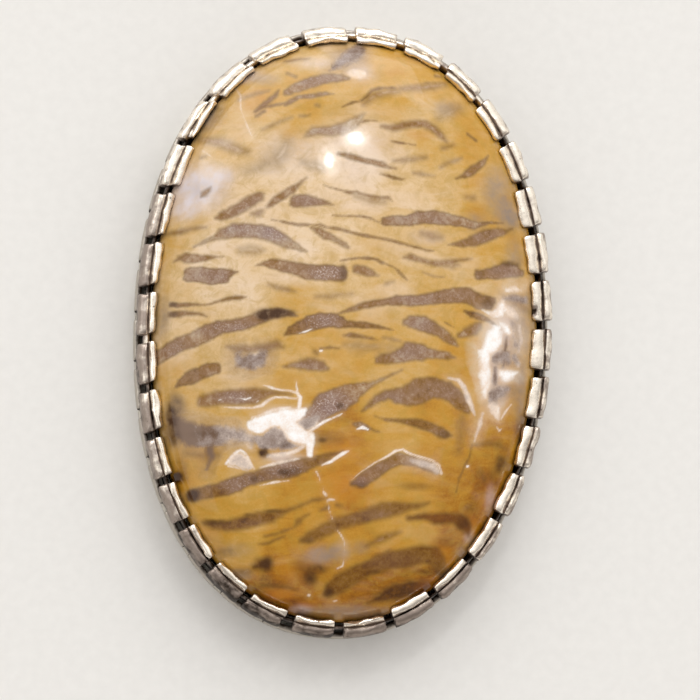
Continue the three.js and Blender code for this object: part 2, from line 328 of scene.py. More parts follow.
def lay_bezel(at, point):
    """Lays a point of the bezel; returns where it is round the ring as well, since bars lag."""
    share, k, along, drawn = at
    offset, height, tarnish = BEZEL_SECTION[point]
    lip, groove, lag, oxide, dullness_and_shade = TABS[k]
    lagging = min(max((INNER_BAR[0] + 1 - point) / LAG_SPREAD, 0), 1) * (point >= OUTER_BAR[0])
    share += lag / oval_girth * lagging
    if along is None:
        if point in CUT_ARCH:
            over = math.pi * (point - CUT_ARCH[0]) / (len(CUT_ARCH) - 1)
            cut = round(share * TAB_COUNT - FIRST_CUT) % TAB_COUNT
            half_width, rise = FILLED_ARCH if cut in FILLED_CUTS else BARE_ARCH
            offset = ARCH_MIDDLE + half_width * math.cos(over)
            height = ARCH_FOOT + rise * max(math.sin(over), 0) ** 0.6
            tarnish = 0.9 - 0.7 * math.sin(over) if cut in FILLED_CUTS else 1
            # At the top of the ring the cuts keep less oxide: partly wiped, partly painted light on
            # their floors.
            tarnish *= WIPED_AND_LIT_OXIDE if cut in CUTS_WIPED_AND_LIT else 1
        return offset, height, tarnish, share
    if OUTER_BAR[0] < point < CUT_ARCH.stop:
        over_stone = float(np.interp(offset, (LIP_OFFSET, 0.6), (1, 0)))
        offset = float(np.interp(offset, (LIP_OFFSET, GROOVE_OFFSET, FACE_OFFSET),
                                 (lip, groove, FACE_OFFSET)))
        height += CLIMB * max(CLIMB_START - lip, 0) * over_stone
    if point in GROOVE:
        tarnish *= oxide
    for name, points, centre in (("outer", OUTER_BAR, OUTER_BAR_CENTRE),
                                 ("inner", INNER_BAR, INNER_BAR_CENTRE)):
        if point in points:
            shift, lift, tip = bar_tilt[k, name]
            rise = (height - OUTER_BAR_FOOT) / 2 if name == "outer" else 1
            offset += (centre[0] - offset) * BAR_DRAWN_IN * drawn
            offset += hand_made(at, point, 0.9, 0.14) + hand_made(at, point + 80, 0.4, 0.05)
            height += (centre[1] - height) * BAR_DRAWN_IN * drawn
            height += hand_made(at, point + 40, 0.9, 0.09)
            offset += shift * rise
            height += (lift + tip * (along - 0.5)) * rise - 0.02
            # On the outer bar this adds painted shade as well as dullness, heaviest at the bottom
            # of the ring.
            tarnish = max(tarnish + dullness_and_shade * (name == "outer"), 0.4 * drawn)
            if k == CHIPPED_TAB and point > 26:
                chip = math.exp(-((along - CHIPPED_AT[0]) / CHIPPED_AT[1]) ** 2)
                height, tarnish = height - 0.15 * chip, max(tarnish, 1.2 * chip)
    return min(offset, FACE_OFFSET), height, tarnish, share


# Burnished silver: bright, slightly yellow-white, with the pits and soft dents of hand
# work. Oxide is left in the groove and the cuts. The outer faces are darker than the crests,
# partly a duller finish and partly painted shade, heaviest on the outer bars at the bottom of the
# ring.
bezel_finish, tree, place = new_finish("burnished_silver_with_oxide")
held = add_node(tree, "Attribute", {}, 2, attribute_name="tarnish")
blotch = add_node(tree, "TexNoise", {"Vector": place, "Scale": 1 / (0.6 * MM), "Detail": 6,
                                     "Roughness": 0.62})
grain = add_node(tree, "TexNoise", {"Vector": place, "Scale": 1 / (0.3 * MM), "Detail": 3,
                                    "Roughness": 0.45})
dents = add_node(tree, "TexNoise", {"Vector": place, "Scale": 1 / (0.75 * MM), "Detail": 2})
pits = add_node(tree, "TexVoronoi", {"Vector": place, "Scale": 1 / (0.4 * MM)})
pit = add_node(tree, "MapRange", {0: pits, 1: 0.06, 2: 0.24, 3: 1.0, 4: 0.0},
               interpolation_type="SMOOTHSTEP")
rare = add_node(tree, "MapRange", {0: blotch, 1: 0.52, 2: 0.62, 3: 0.0, 4: 1.0})
pit = add_node(tree, "Math", {0: pit, 1: rare}, operation="MULTIPLY")
stain = add_node(tree, "Math", {0: blotch, 1: 0.9, 2: -0.45}, operation="MULTIPLY_ADD")
stain = add_node(tree, "Math", {0: dents, 1: 0.8, 2: stain}, operation="MULTIPLY_ADD")
stain = add_node(tree, "Math", {0: held, 1: stain}, operation="ADD")
stain = add_node(tree, "Math", {0: stain, 1: 0.4}, operation="SUBTRACT")
# This mask carries painted shade on the outer bars as well as dull patches.
dull_and_shaded = add_node(tree, "MapRange", {0: stain, 1: 0.04, 2: 0.5, 3: 0.0, 4: 1.0},
                interpolation_type="SMOOTHSTEP")
black = add_node(tree, "MapRange", {0: stain, 1: 0.6, 2: 1.1, 3: 0.0, 4: 1.0},
                 interpolation_type="SMOOTHSTEP")
black = add_node(tree, "Math", {0: black, 1: pit}, operation="MAXIMUM")
bezel_colour = add_node(tree, "Mix", {
    0: dull_and_shaded, 6: linear(BRIGHT_SILVER), 7: linear(DULL_AND_SHADED_SILVER)}, 2, data_type="RGBA")
bezel_colour = add_node(tree, "Mix", {0: black, 6: bezel_colour, 7: linear(OXIDE)}, 2,
                        data_type="RGBA")
gloss = add_node(tree, "MapRange", {0: dull_and_shaded, 1: 0.0, 2: 1.0, 3: 0.2, 4: 0.4})
gloss = add_node(tree, "Math", {0: grain, 1: 0.12, 2: gloss}, operation="MULTIPLY_ADD")
relief = add_node(tree, "Math", {0: pit, 1: -0.5, 2: grain}, operation="MULTIPLY_ADD")
relief = add_node(tree, "Math", {0: dents, 1: 3.0, 2: relief}, operation="MULTIPLY_ADD")
bezel_bump = add_node(tree, "Bump", {"Height": relief, "Strength": 0.5, "Distance": 0.035 * MM})
finished(tree, add_node(tree, "BsdfPrincipled", {
    "Base Color": bezel_colour, "Metallic": 1.0, "Roughness": gloss, "Normal": bezel_bump}))

bm = spun_ring(sawn_stations(0, BAR_END_EASE, 9), len(BEZEL_SECTION), lay_bezel)
bezel = add_piece("silver_bezel", bm, bezel_finish, crease=50)
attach(bezel, "root")
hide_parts("bezel_band")


# ---- the stone ----
# Petrified wood: chalcedony that took the place of the wood, cream to amber, with flame-shaped
# remains of the wood in lilac and brown, and white quartz in its cracks. It is ground to an oval
# dome on a flat base, polished, and held by the bezel's inner bars.

STONE_TUCK, GIRDLE_HEIGHT, STONE_HEIGHT = 0.25, 4.0, 9.1
DOME_POWER, DOME_ROUNDING, RIM_REACH = 2.2, 0.62, 16
STONE_ACROSS, STONE_ALONG = 240, 368  # faces of the mesh, about 0.12 mm each way

# The remains of the wood. Each is a tone, from 0 for pale lilac grey to 1 for the darkest brown,
# how soft its edge is, and its spine: x, y and half width at each point.
FLAMES = [
    # the top end
    (0.45, 0.08, [(-4.9, 17.15, 0.25), (-4, 17.6, 0.42), (-3, 18, 0.45), (-2, 18.3, 0.42),
        (-1, 18.4, 0.35), (-0.3, 18.35, 0.15)]),
    (0.45, 0.07, [(-5, 16.2, 0.15), (-4, 16.8, 0.2), (-3, 16.9, 0.2), (-2, 17.1, 0.16),
        (-1.4, 17.1, 0.05)]),
    (0.5, 0.07, [(-7.1, 15.7, 0.15), (-6.5, 16.2, 0.22), (-5.7, 16.9, 0.2), (-5.4, 17.4, 0.08)]),
    (0.45, 0.07, [(-6.8, 16, 0.12), (-5.5, 16.2, 0.16), (-4.5, 16.4, 0.08)]),
    (0.45, 0.08, [(-7.1, 15.3, 0.1), (-6.5, 15.7, 0.14)]),
    (0.3, 0.15, [(-8.3, 16.7, 0.08), (-7, 17.1, 0.12), (-6.2, 17.3, 0.04)]),
    (0.3, 0.15, [(-6.6, 14.3, 0.05), (-5.5, 14.8, 0.1), (-4.5, 15.2, 0.05)]),
    (0.4, 0.1, [(-4.8, 18.7, 0.1), (-4.2, 18.4, 0.1)]),
    (0.4, 0.1, [(-2.7, 16.2, 0.1), (-2.5, 16.15, 0.1)]),
    (0.35, 0.12, [(-3.9, 15.3, 0.08), (-3.2, 15.4, 0.08)]),
    (0.4, 0.12, [(-5, 19.7, 0.06), (-4, 19.85, 0.12), (-3.2, 19.9, 0.05)]),
    (0.3, 0.3, [(-10.6, 14.4, 0.1), (-10, 15.2, 0.2), (-9.5, 16, 0.1)]),
    (0.36, 0.24, [(-11, 13.7, 0.2), (-9.6, 13.35, 0.3), (-8.6, 12.8, 0.32), (-7.7, 12.55, 0.12)]),
    (0.55, 0.06, [(-0.8, 16.1, 0.06), (0, 16.5, 0.1), (0.6, 16.6, 0.12), (1.1, 17, 0.16),
        (1.4, 17.45, 0.14), (2, 17.65, 0.16), (3, 17.75, 0.14), (3.5, 17.65, 0.05)]),
    (0.35, 0.22, [(0.8, 16.4, 0.12), (1.6, 17.1, 0.22), (2.6, 17.4, 0.22), (3.4, 17.5, 0.1)]),
    (0.3, 0.22, [(3.5, 17.7, 0.15), (5, 17.9, 0.25), (6, 18.1, 0.25), (7, 18.4, 0.15)]),
    (0.5, 0.06, [(4.8, 18.1, 0.06), (5.8, 18.35, 0.09), (6.8, 18.5, 0.05)]),
    (0.22, 0.12, [(-3.5, 13.8, 0.12), (-2.8, 14.2, 0.35), (-1.5, 14.2, 0.42), (-0.5, 14.5, 0.48),
        (0.2, 15, 0.35), (0.8, 15.6, 0.1)]),
    (0.5, 0.06, [(0.4, 14.9, 0.12), (0.9, 15.08, 0.1), (1.8, 15.1, 0.04)]),
    (0.5, 0.12, [(2.1, 14.7, 0.1), (3, 14.6, 0.25), (3.8, 14.9, 0.3), (4.5, 15, 0.3),
        (5.3, 15.05, 0.32), (6, 14.75, 0.3), (6.6, 14.2, 0.2), (7.1, 13.6, 0.06)]),
    (0.5, 0.06, [(2.8, 13.6, 0.08), (3.5, 13.5, 0.12), (4.6, 13.4, 0.05)]),
    (0.6, 0.14, [(6.7, 13.3, 0.1), (7.5, 13.6, 0.1)]),
    (0.6, 0.06, [(8.6, 14.6, 0.08), (9.3, 14.1, 0.1)]),
    (0.2, 0.4, [(6.4, 15.6, 0.1), (7.3, 16.1, 0.2), (8, 16.6, 0.1)]),
    (0.55, 0.1, [(6.3, 19, 0.1), (6.7, 19, 0.1)]),
    # above the middle, left
    (0.5, 0.12, [(-10.95, 12.3, 0.1), (-10.7, 12.35, 0.1)]),
    (0.42, 0.08, [(-10.95, 9.3, 0.1), (-10.75, 9.5, 0.26), (-10.45, 9.75, 0.16),
        (-10.3, 9.95, 0.03)]),
    (0.38, 0.09, [(-9.9, 7.6, 0.1), (-9.4, 7.75, 0.35), (-8.7, 8.05, 0.42), (-8, 8.45, 0.42),
        (-7.4, 8.85, 0.45), (-6.8, 9.2, 0.35), (-6.5, 9.35, 0.1)]),
    (0.4, 0.18, [(-7.3, 7.9, 0.12), (-6.9, 7.9, 0.25), (-6.6, 8.1, 0.12)]),
    (0.42, 0.08, [(-6.2, 8.4, 0.12), (-5.6, 8.95, 0.28), (-5, 9.35, 0.32), (-4.5, 9.65, 0.28),
        (-4, 10.05, 0.16), (-3.7, 10.4, 0.1), (-3.4, 10.65, 0.04)]),
    (0.28, 0.08, [(-11.4, 5.5, 0.08), (-10.6, 5.9, 0.14), (-9.9, 6.15, 0.2), (-9.3, 6.45, 0.45),
        (-8.5, 6.65, 0.55), (-7.6, 6.65, 0.58), (-6.8, 6.6, 0.55), (-6, 6.4, 0.55),
        (-5.3, 6.05, 0.5), (-4.7, 5.75, 0.4), (-4.1, 5.5, 0.28), (-3.7, 5.25, 0.14),
        (-3.3, 5.15, 0.05)]),
    (0.15, 0.28, [(-8, 5.2, 0.15), (-7.4, 5.25, 0.28), (-6.9, 5.2, 0.2), (-6.4, 5.2, 0)]),
    (0.6, 0.12, [(-13.3, 6.6, 0.12), (-12.4, 6.7, 0.2), (-11.3, 6.9, 0.13), (-10.6, 6.95, 0.03)]),
    (0.15, 0.5, [(-7.8, 11, -0.1), (-6.8, 11.4, 0.05), (-5.7, 11.9, 0.15), (-5.1, 12.6, 0.25),
        (-4.9, 13.2, 0.15)]),
    (0.42, 0.08, [(-4.5, 8.6, 0.15), (-4.1, 8.85, 0.5), (-3.5, 8.9, 0.52), (-2.9, 8.85, 0.38),
        (-2.3, 8.8, 0.25), (-1.8, 8.7, 0.15), (-1.35, 8.6, 0.04)]),
    (0.08, 0.3, [(-3.7, 11.8, 0.1), (-3, 11.6, 0.25), (-2.2, 11.35, 0.15)]),
    # above the middle, centre and right
    (0.38, 0.08, [(-1.1, 12.5, 0.12), (-0.6, 12.4, 0.22), (0, 12.25, 0.25), (0.8, 12.05, 0.22),
        (1.4, 11.95, 0.24), (2, 11.8, 0.25), (2.5, 11.6, 0.15), (3.2, 11.5, 0.04)]),
    (0.5, 0.06, [(2, 11.1, 0.06), (2.5, 10.98, 0.12), (3, 10.82, 0.16), (3.5, 10.72, 0.1),
        (3.9, 10.78, 0.03)]),
    (0.35, 0.18, [(3, 12.1, 0.05), (3.7, 12.2, 0.14), (4.5, 12.3, 0.16), (5.4, 12.5, 0.08)]),
    (0.3, 0.14, [(4.5, 11.25, 0.08), (5, 11.2, 0.13), (6, 11.1, 0.06)]),
    (0.42, 0.06, [(-2.2, 10.1, 0.04), (-1.5, 9.9, 0.07), (-0.9, 9.75, 0.1), (-0.3, 9.6, 0.12),
        (0.2, 9.6, 0.15), (0.8, 9.45, 0.16), (1.5, 9.3, 0.15), (2.1, 9.25, 0.16), (2.6, 9.3, 0.12),
        (2.9, 9.05, 0.04)]),
    (0.25, 0.3, [(0.2, 9.35, 0.1), (1.4, 9, 0.18), (2.3, 9, 0.12)]),
    (0.35, 0.06, [(-1.5, 7.85, 0.03), (-0.5, 7.85, 0.07), (0.5, 7.85, 0.08), (1.2, 7.75, 0.08),
        (1.8, 7.5, 0.08), (2.2, 7.3, 0.07)]),
    (0.38, 0.06, [(2.42, 7.55, 0.38), (3, 7.6, 0.4), (4, 7.65, 0.42), (5, 7.95, 0.52), (6, 8, 0.55),
        (7, 7.92, 0.5), (8, 7.82, 0.42), (9, 7.65, 0.35), (9.6, 7.75, 0.2), (10.2, 7.9, 0.1),
        (11.4, 8, 0.04)]),
    (0.5, 0.07, [(-5.9, 7.45, 0.05), (-5, 7.3, 0.1), (-4, 7.1, 0.12), (-3, 7.12, 0.1),
        (-2.4, 7.12, 0.1), (-2, 6.95, 0.12), (-1, 6.85, 0.13), (0, 6.6, 0.13), (1, 6.4, 0.15),
        (2, 6.28, 0.12), (3, 6.08, 0.12), (4, 5.88, 0.11), (4.7, 5.7, 0.08), (5.4, 5.52, 0.08),
        (6, 5.5, 0.03)]),
    (0.42, 0.08, [(-3, 6.9, 0.12), (-2.5, 6.7, 0.24), (-2, 6.4, 0.3), (-1.5, 6.2, 0.26),
        (-1, 5.95, 0.22), (-0.6, 5.7, 0.2), (-0.25, 5.48, 0.05)]),
    (0.3, 0.15, [(6.5, 11.8, 0.04), (7, 12.15, 0.12), (7.6, 12.4, 0.12), (8.1, 12.65, 0.03)]),
    (0.45, 0.07, [(7.7, 11, 0.08), (8.2, 11.25, 0.2), (8.8, 11.65, 0.34), (9.4, 12.1, 0.28),
        (9.9, 12.6, 0.2), (10.25, 13.05, 0.04)]),
    (0.55, 0.22, [(8.5, 9.7, 0.08), (9, 9.7, 0.14)]),
    (0.32, 0.24, [(5.1, 6.75, 0.1), (5.9, 6.6, 0.24), (6.6, 6.5, 0.06)]),
    (0.48, 0.08, [(7.1, 6.02, 0.05), (7.6, 6.1, 0.16), (8.1, 6.15, 0.26), (9, 6.4, 0.42),
        (9.6, 6.7, 0.48), (10.1, 6.95, 0.48), (10.6, 7.1, 0.42), (11.1, 7.25, 0.35),
        (11.6, 7.4, 0.2), (12.1, 7.65, 0.08)]),
    # across the middle
    (0.5, 0.08, [(-12.8, 4.5, 0.08), (-12.4, 4.7, 0.25), (-11.9, 4.7, 0.42), (-11.3, 4.65, 0.35),
        (-10.6, 4.65, 0.25), (-10, 4.7, 0.12), (-9.3, 4.72, 0.03)]),
    (0.38, 0.06, [(-12, 3.25, 0.2), (-11.6, 3.45, 0.55), (-11, 3.45, 0.62), (-10, 3.25, 0.62),
        (-9.4, 3.3, 0.6), (-8.9, 3.5, 0.35), (-8.3, 3.6, 0.07)]),
    (0.36, 0.07, [(-7, 4.05, 0.04), (-6.4, 4.2, 0.2), (-5.8, 4.2, 0.4), (-5, 4.05, 0.48),
        (-4, 3.85, 0.52), (-3.2, 3.65, 0.6), (-2.5, 3.62, 0.62), (-1.5, 3.6, 0.63),
        (-0.9, 3.58, 0.58)]),
    (0.4, 0.09, [(0.35, 3.93, 0.34), (0.8, 3.85, 0.38), (1.3, 3.68, 0.3), (1.9, 3.48, 0.1)]),
    (0.5, 0.06, [(-0.9, 4.5, 0.03), (-0.3, 4.65, 0.06), (0.5, 4.75, 0.09), (1.2, 4.75, 0.13),
        (1.8, 4.68, 0.12), (2.25, 4.45, 0.14)]),
    (0.5, 0.06, [(2.25, 4.45, 0.06), (3, 4.2, 0.05), (3.4, 3.9, 0.1), (3.7, 3.55, 0.1),
        (4.05, 3.25, 0.04)]),
    (0.25, 0.15, [(2.5, 2.95, 0.08), (3, 3.1, 0.08)]),
    (0.5, 0.11, [(3.8, 4.9, 0.08), (4.3, 4.95, 0.24), (5, 4.8, 0.19), (5.6, 4.64, 0.2),
        (6.2, 4.58, 0.24), (6.8, 4.6, 0.28), (7.4, 4.75, 0.22), (8, 4.92, 0.13), (8.9, 5.1, 0.03)]),
    (0.35, 0.2, [(6.5, 4.55, 0.08), (7.4, 4.5, 0.18), (7.9, 4.6, 0.06)]),
    (0.2, 0.1, [(5.2, 3.9, 0.02), (6, 3.6, 0.04), (6.8, 3.6, 0.01)]),
    (0.52, 0.07, [(9.45, 3.95, 0.38), (10.1, 4.08, 0.42), (10.9, 4.25, 0.52), (11.6, 4.45, 0.6),
        (12.2, 4.5, 0.55), (12.8, 4.4, 0.3)]),
    (0.4, 0.15, [(-6, 2.7, 0.06), (-5.3, 2.4, 0.16), (-4.6, 2.3, 0.15), (-4.1, 2.2, 0.03)]),
    (0.52, 0.07, [(-12.95, 1.3, 0.18), (-12.5, 1.25, 0.22), (-12, 1.25, 0.16), (-11.3, 1.25, 0.13),
        (-10.6, 1.2, 0.06), (-10, 1.3, 0.06), (-9.4, 1.5, 0.12), (-8.8, 1.65, 0.18),
        (-8.1, 1.7, 0.17), (-7.6, 1.75, 0.04)]),
    (0.52, 0.08, [(-12.95, 0.6, 0.2), (-12.4, 0.6, 0.25), (-11.8, 0.6, 0.2), (-11.2, 0.58, 0.15),
        (-10.8, 0.5, 0.12), (-10.4, 0.33, 0.03)]),
    (0.42, 0.07, [(-14, -2.6, 0.5), (-13.4, -2.3, 0.5), (-12.9, -2, 0.55), (-12.2, -1.6, 0.55),
        (-11.5, -1.4, 0.58), (-10.8, -1.1, 0.58), (-10.2, -0.75, 0.58), (-9.5, -0.45, 0.52),
        (-8.8, -0.38, 0.5), (-8, -0.25, 0.5), (-7.2, -0.02, 0.48), (-6.6, 0.25, 0.45),
        (-6, 0.48, 0.42), (-5.3, 0.62, 0.35), (-4.8, 0.6, 0.28), (-4.3, 0.5, 0.2),
        (-3.9, 0.4, 0.07)]),
    (0.56, 0.06, [(-4.8, -1, 0.08), (-4.3, -0.65, 0.35), (-3.6, -0.4, 0.5), (-2.9, -0.1, 0.58),
        (-2.2, 0.12, 0.6), (-1.5, 0.15, 0.55), (-0.9, 0.02, 0.48), (-0.3, -0.13, 0.3),
        (0.5, -0.13, 0.28), (1.3, -0.18, 0.24), (2, -0.25, 0.17), (2.6, -0.35, 0.1),
        (3.1, -0.46, 0.03)]),
    (0.45, 0.07, [(-1, 0.6, 0.06), (-0.5, 0.82, 0.13), (0.2, 1.05, 0.22), (1, 1.3, 0.28),
        (1.8, 1.5, 0.3), (2.6, 1.62, 0.28), (3.4, 1.72, 0.4), (4.3, 1.75, 0.44), (5, 1.8, 0.42),
        (6, 2.02, 0.48), (7, 2.2, 0.55), (7.8, 2.32, 0.6), (8.5, 2.35, 0.62), (9.1, 2.15, 0.55),
        (9.6, 1.9, 0.55), (10.1, 1.95, 0.55), (10.5, 2.1, 0.3)]),
    (0.3, 0.2, [(-2.6, 1.85, 0.03), (-1.6, 1.85, 0.13), (-1, 2, 0.05), (0, 2.1, 0.02)]),
    (0.52, 0.06, [(8.4, 1.2, 0.12), (9, 1, 0.28), (9.7, 0.82, 0.28), (10.3, 0.6, 0.15),
        (10.7, 0.4, 0.1), (11.05, 0.1, 0.05)]),
    (0.45, 0.1, [(8, -0.65, 0.15), (8.6, -0.35, 0.38), (9.1, -0.15, 0.42), (9.5, 0.15, 0.3),
        (9.6, 0.45, 0.08)]),
    (0.45, 0.05, [(6.9, 0.3, 0.05), (7.3, 0.12, 0.08), (7.6, -0.05, 0.03)]),
    (0.46, 0.08, [(3.98, 0.15, 0.28), (4.5, 0.22, 0.5), (5.2, 0.1, 0.58), (5.9, -0.15, 0.5),
        (6.5, -0.4, 0.42), (7, -0.7, 0.38), (7.5, -1.1, 0.3), (7.9, -1.4, 0.08)]),
    (0.42, 0.08, [(-0.5, -0.95, 0.1), (0, -0.88, 0.2), (0.7, -1, 0.18), (1.4, -1.12, 0.14),
        (1.95, -1.2, 0.04)]),
    (0.2, 0.5, [(-0.4, -1.6, 0), (0.8, -1.7, 0.15), (1.8, -1.7, 0)]),
    (0.3, 0.15, [(2.3, -1, 0.02), (3, -1.1, 0.06), (3.6, -1.25, 0.02)]),
    (0.4, 0.09, [(2, -2.7, 0.25), (2.5, -2.55, 0.42), (3.1, -2.48, 0.42), (3.8, -2.25, 0.55),
        (4.4, -1.95, 0.72), (5, -1.98, 0.66), (5.7, -2.02, 0.42), (6.4, -2.1, 0.35),
        (7.1, -2.15, 0.32), (7.7, -2.25, 0.08)]),
    (0.42, 0.08, [(-2.2, -1.95, 0.08), (-1.5, -1.85, 0.1), (-0.9, -1.9, 0.04)]),
    (0.62, 0.1, [(-2.6, -2.15, 0.13), (-2.45, -2.3, 0.13)]),
    (0.44, 0.1, [(-4.8, -3.3, 0.06), (-4.2, -3.2, 0.2), (-3.5, -3.12, 0.38), (-2.8, -3.1, 0.5),
        (-2.2, -3.2, 0.42), (-1.65, -3.4, 0.12)]),
    (0.5, 0.16, [(-8.9, -1.85, 0.04), (-8.2, -2.05, 0.2), (-7, -2.05, 0.28), (-6, -1.9, 0.28),
        (-5.3, -1.7, 0.28), (-4.9, -1.95, 0.08)]),
    # below the middle
    (0.5, 0.06, [(-12.5, -4.75, 0.08), (-12.1, -4.4, 0.3), (-11.5, -4.1, 0.52), (-10.8, -3.8, 0.48),
        (-10.1, -3.5, 0.48), (-9.75, -3.45, 0.45)]),
    (0.48, 0.12, [(-10.55, -5.8, 0.42), (-10.2, -5.75, 0.5), (-9.4, -5.6, 0.54), (-8.5, -5.55, 0.6),
        (-7.6, -5.5, 0.62), (-6.9, -5.45, 0.62), (-6.3, -5.3, 0.42), (-5.7, -5.2, 0.25),
        (-5, -5.25, 0.15), (-4.2, -5.3, 0.04)]),
    (0.4, 0.08, [(-3.6, -7.5, 0.3), (-3, -7.2, 0.6), (-2.3, -6.6, 0.7), (-1.6, -5.9, 0.88),
        (-0.8, -5.6, 0.88), (0, -5.2, 0.75), (0.7, -4.8, 0.48), (1.4, -4.5, 0.25),
        (2.2, -4.12, 0.15), (3, -3.7, 0.1), (3.8, -3.3, 0.05)]),
    (0.52, 0.09, [(0.9, -6.4, 0.06), (1.4, -6, 0.18), (2, -5.5, 0.32), (2.8, -5.1, 0.35),
        (3.6, -5.2, 0.6), (4.5, -5.15, 0.82), (5.2, -4.75, 0.9), (6, -4.5, 0.78), (7, -4.65, 0.68),
        (7.7, -5, 0.62), (8.3, -5.5, 0.58), (8.7, -6, 0.3)]),
    (0.57, 0.08, [(1.8, -6.7, 0.03), (2.6, -6.95, 0.1), (3.5, -7, 0.15), (4.4, -7.1, 0.28),
        (5.2, -7.15, 0.36), (6, -7.4, 0.35), (6.7, -7.7, 0.36), (7.2, -7.9, 0.28),
        (7.6, -7.95, 0.04)]),
    (0.5, 0.07, [(0.35, -7.3, 0.1), (0.8, -7.4, 0.28), (1.3, -7.55, 0.2), (1.8, -7.75, 0.08),
        (2.2, -7.85, 0.02)]),
    (0.46, 0.07, [(0.4, -11.6, 0.2), (1, -11.45, 0.45), (1.6, -11, 0.5), (2.2, -10.6, 0.45),
        (3, -10.1, 0.4), (3.8, -9.7, 0.48), (4.5, -9.85, 0.38), (5.2, -9.98, 0.36),
        (6, -10.2, 0.36), (6.6, -10.5, 0.26)]),
    (0.72, 0.07, [(-2.5, -9.8, 0.1), (-1.8, -9.7, 0.2), (-1.3, -9.62, 0.2), (-0.9, -9.5, 0.15),
        (-0.4, -9.32, 0.04)]),
    (0.62, 0.4, [(-2.2, -8.3, 0.1), (-1.5, -8.4, 0.15), (-0.7, -8.5, 0.05)]),
    (0.6, 0.07, [(-11.05, -12.6, 0.42), (-10.4, -12.45, 0.5), (-9.6, -12.3, 0.52),
        (-8.8, -12.1, 0.58), (-8, -11.8, 0.58), (-7.3, -11.5, 0.5), (-6.5, -11.3, 0.48),
        (-5.6, -11, 0.58), (-4.8, -10.85, 0.62), (-4, -10.6, 0.66), (-3.3, -10.4, 0.58),
        (-2.6, -10.2, 0.4), (-1.9, -10, 0.28), (-1.3, -9.85, 0.12)]),
    (0.45, 0.5, [(8.4, -6.6, 0), (8.3, -7.8, 0.1), (8.2, -9, 0)]),
    (0.58, 0.2, [(9.5, -8.5, 0.02), (10.5, -8.35, 0.18), (11.3, -8.4, 0.2), (11.9, -8.7, 0.1)]),
    (0.62, 0.06, [(9.2, -8.5, 0.04), (9, -9.5, 0.06), (8.7, -10, 0.06), (8.3, -11, 0.05),
        (8.1, -12, 0.03)]),
    (0.6, 0.25, [(9.9, -10.3, 0), (10.3, -11, 0.1)]),
    (0.78, 0.35, [(11, -10.5, 0.15), (11.8, -9.6, 0.25)]),
    (0.55, 0.28, [(-11.5, -9.6, 0), (-10.4, -9.75, 0.1), (-9.3, -9.7, 0.1)]),
    # the bottom end
    (0.64, 0.11, [(-10.1, -14.6, 0.22), (-9.4, -14.75, 0.33), (-8.6, -14.8, 0.42),
        (-7.8, -14.65, 0.48), (-7, -14.5, 0.5), (-6.2, -14.25, 0.5), (-5.5, -14.15, 0.42),
        (-4.9, -13.9, 0.28), (-4.3, -13.65, 0.14), (-3.6, -13.4, 0.1), (-3, -13.15, 0.09),
        (-2.5, -12.9, 0.12), (-1.9, -12.8, 0.1), (-1.5, -12.7, 0.03)]),
    (0.64, 0.08, [(-5.8, -15.5, 0.07), (-5, -15.35, 0.1), (-4.3, -15.05, 0.09),
        (-3.7, -14.9, 0.03)]),
    (0.64, 0.08, [(-6.2, -16.1, 0.07), (-5.6, -16.05, 0.12), (-5, -15.75, 0.08),
        (-4.4, -15.5, 0.03)]),
    (0.97, 0.14, [(-6.5, -17.75, 0.25), (-6, -17.55, 0.45), (-5.65, -17.5, 0.5)]),
    (0.45, 0.2, [(-7.6, -18.1, 0.1), (-6.8, -18, 0.2)]),
    (0.8, 0.1, [(-5.9, -19, 0.06), (-5, -19.1, 0.12), (-4, -19.15, 0.12), (-3.3, -19.4, 0.04)]),
    (0.68, 0.1, [(-3.7, -14.8, 0.1), (-3.5, -14.5, 0.14), (-3.1, -14.1, 0.1), (-2.7, -13.9, 0.03)]),
    (0.65, 0.1, [(-1.9, -13.6, 0.08), (-1.4, -13.4, 0.14)]),
    (0.65, 0.1, [(-0.7, -13.2, 0.1), (-0.4, -13.25, 0.08)]),
    (0.68, 0.11, [(-3.1, -15.7, 0.22), (-2.6, -15.55, 0.4), (-2, -15.3, 0.43), (-1.4, -14.95, 0.48),
        (-0.7, -14.6, 0.46), (0, -14.35, 0.45), (0.7, -14.15, 0.48), (1.4, -13.95, 0.5),
        (2.1, -13.7, 0.55), (2.9, -13.45, 0.6), (3.6, -13.35, 0.52), (4.3, -13.2, 0.38),
        (5, -13.15, 0.25), (5.6, -13, 0.15), (6.1, -12.85, 0.04)]),
    (0.55, 0.15, [(1.5, -16.1, 0), (2, -15.85, 0.12), (2.6, -15.55, 0.24), (3.2, -15.3, 0.22),
        (3.7, -15.12, 0.12), (4.05, -15.02, 0.02)]),
    (0.9, 0.4, [(-3.2, -17.6, 0.1), (-2.7, -18.2, 0.25), (-2.3, -18.6, 0.1)]),
    (0.74, 0.1, [(-1.2, -19.5, 0.22), (-0.8, -19.2, 0.52), (-0.2, -18.8, 0.66), (0.5, -18.3, 0.62),
        (1.2, -17.95, 0.58), (1.9, -17.6, 0.58), (2.6, -17.3, 0.62), (3.4, -17, 0.68),
        (4.2, -16.95, 0.72), (5, -16.75, 0.7), (5.8, -16.55, 0.68), (6.5, -16.6, 0.68),
        (7, -17, 0.55), (7.3, -17.6, 0.38)]),
    (0.9, 0.14, [(1.9, -20.15, 0.08), (2.6, -19.85, 0.28), (3.3, -19.55, 0.48), (4.1, -19.3, 0.62),
        (5, -19.1, 0.66), (5.8, -18.95, 0.55), (6.4, -18.8, 0.35)]),
    (0.82, 0.1, [(4.6, -14, 0.22), (5.3, -13.9, 0.22), (6, -13.85, 0.32), (6.7, -13.95, 0.43),
        (7.4, -13.9, 0.42), (8.1, -13.85, 0.43), (8.7, -14.15, 0.48), (9.1, -14.6, 0.38),
        (9.3, -15.1, 0.1)]),
]
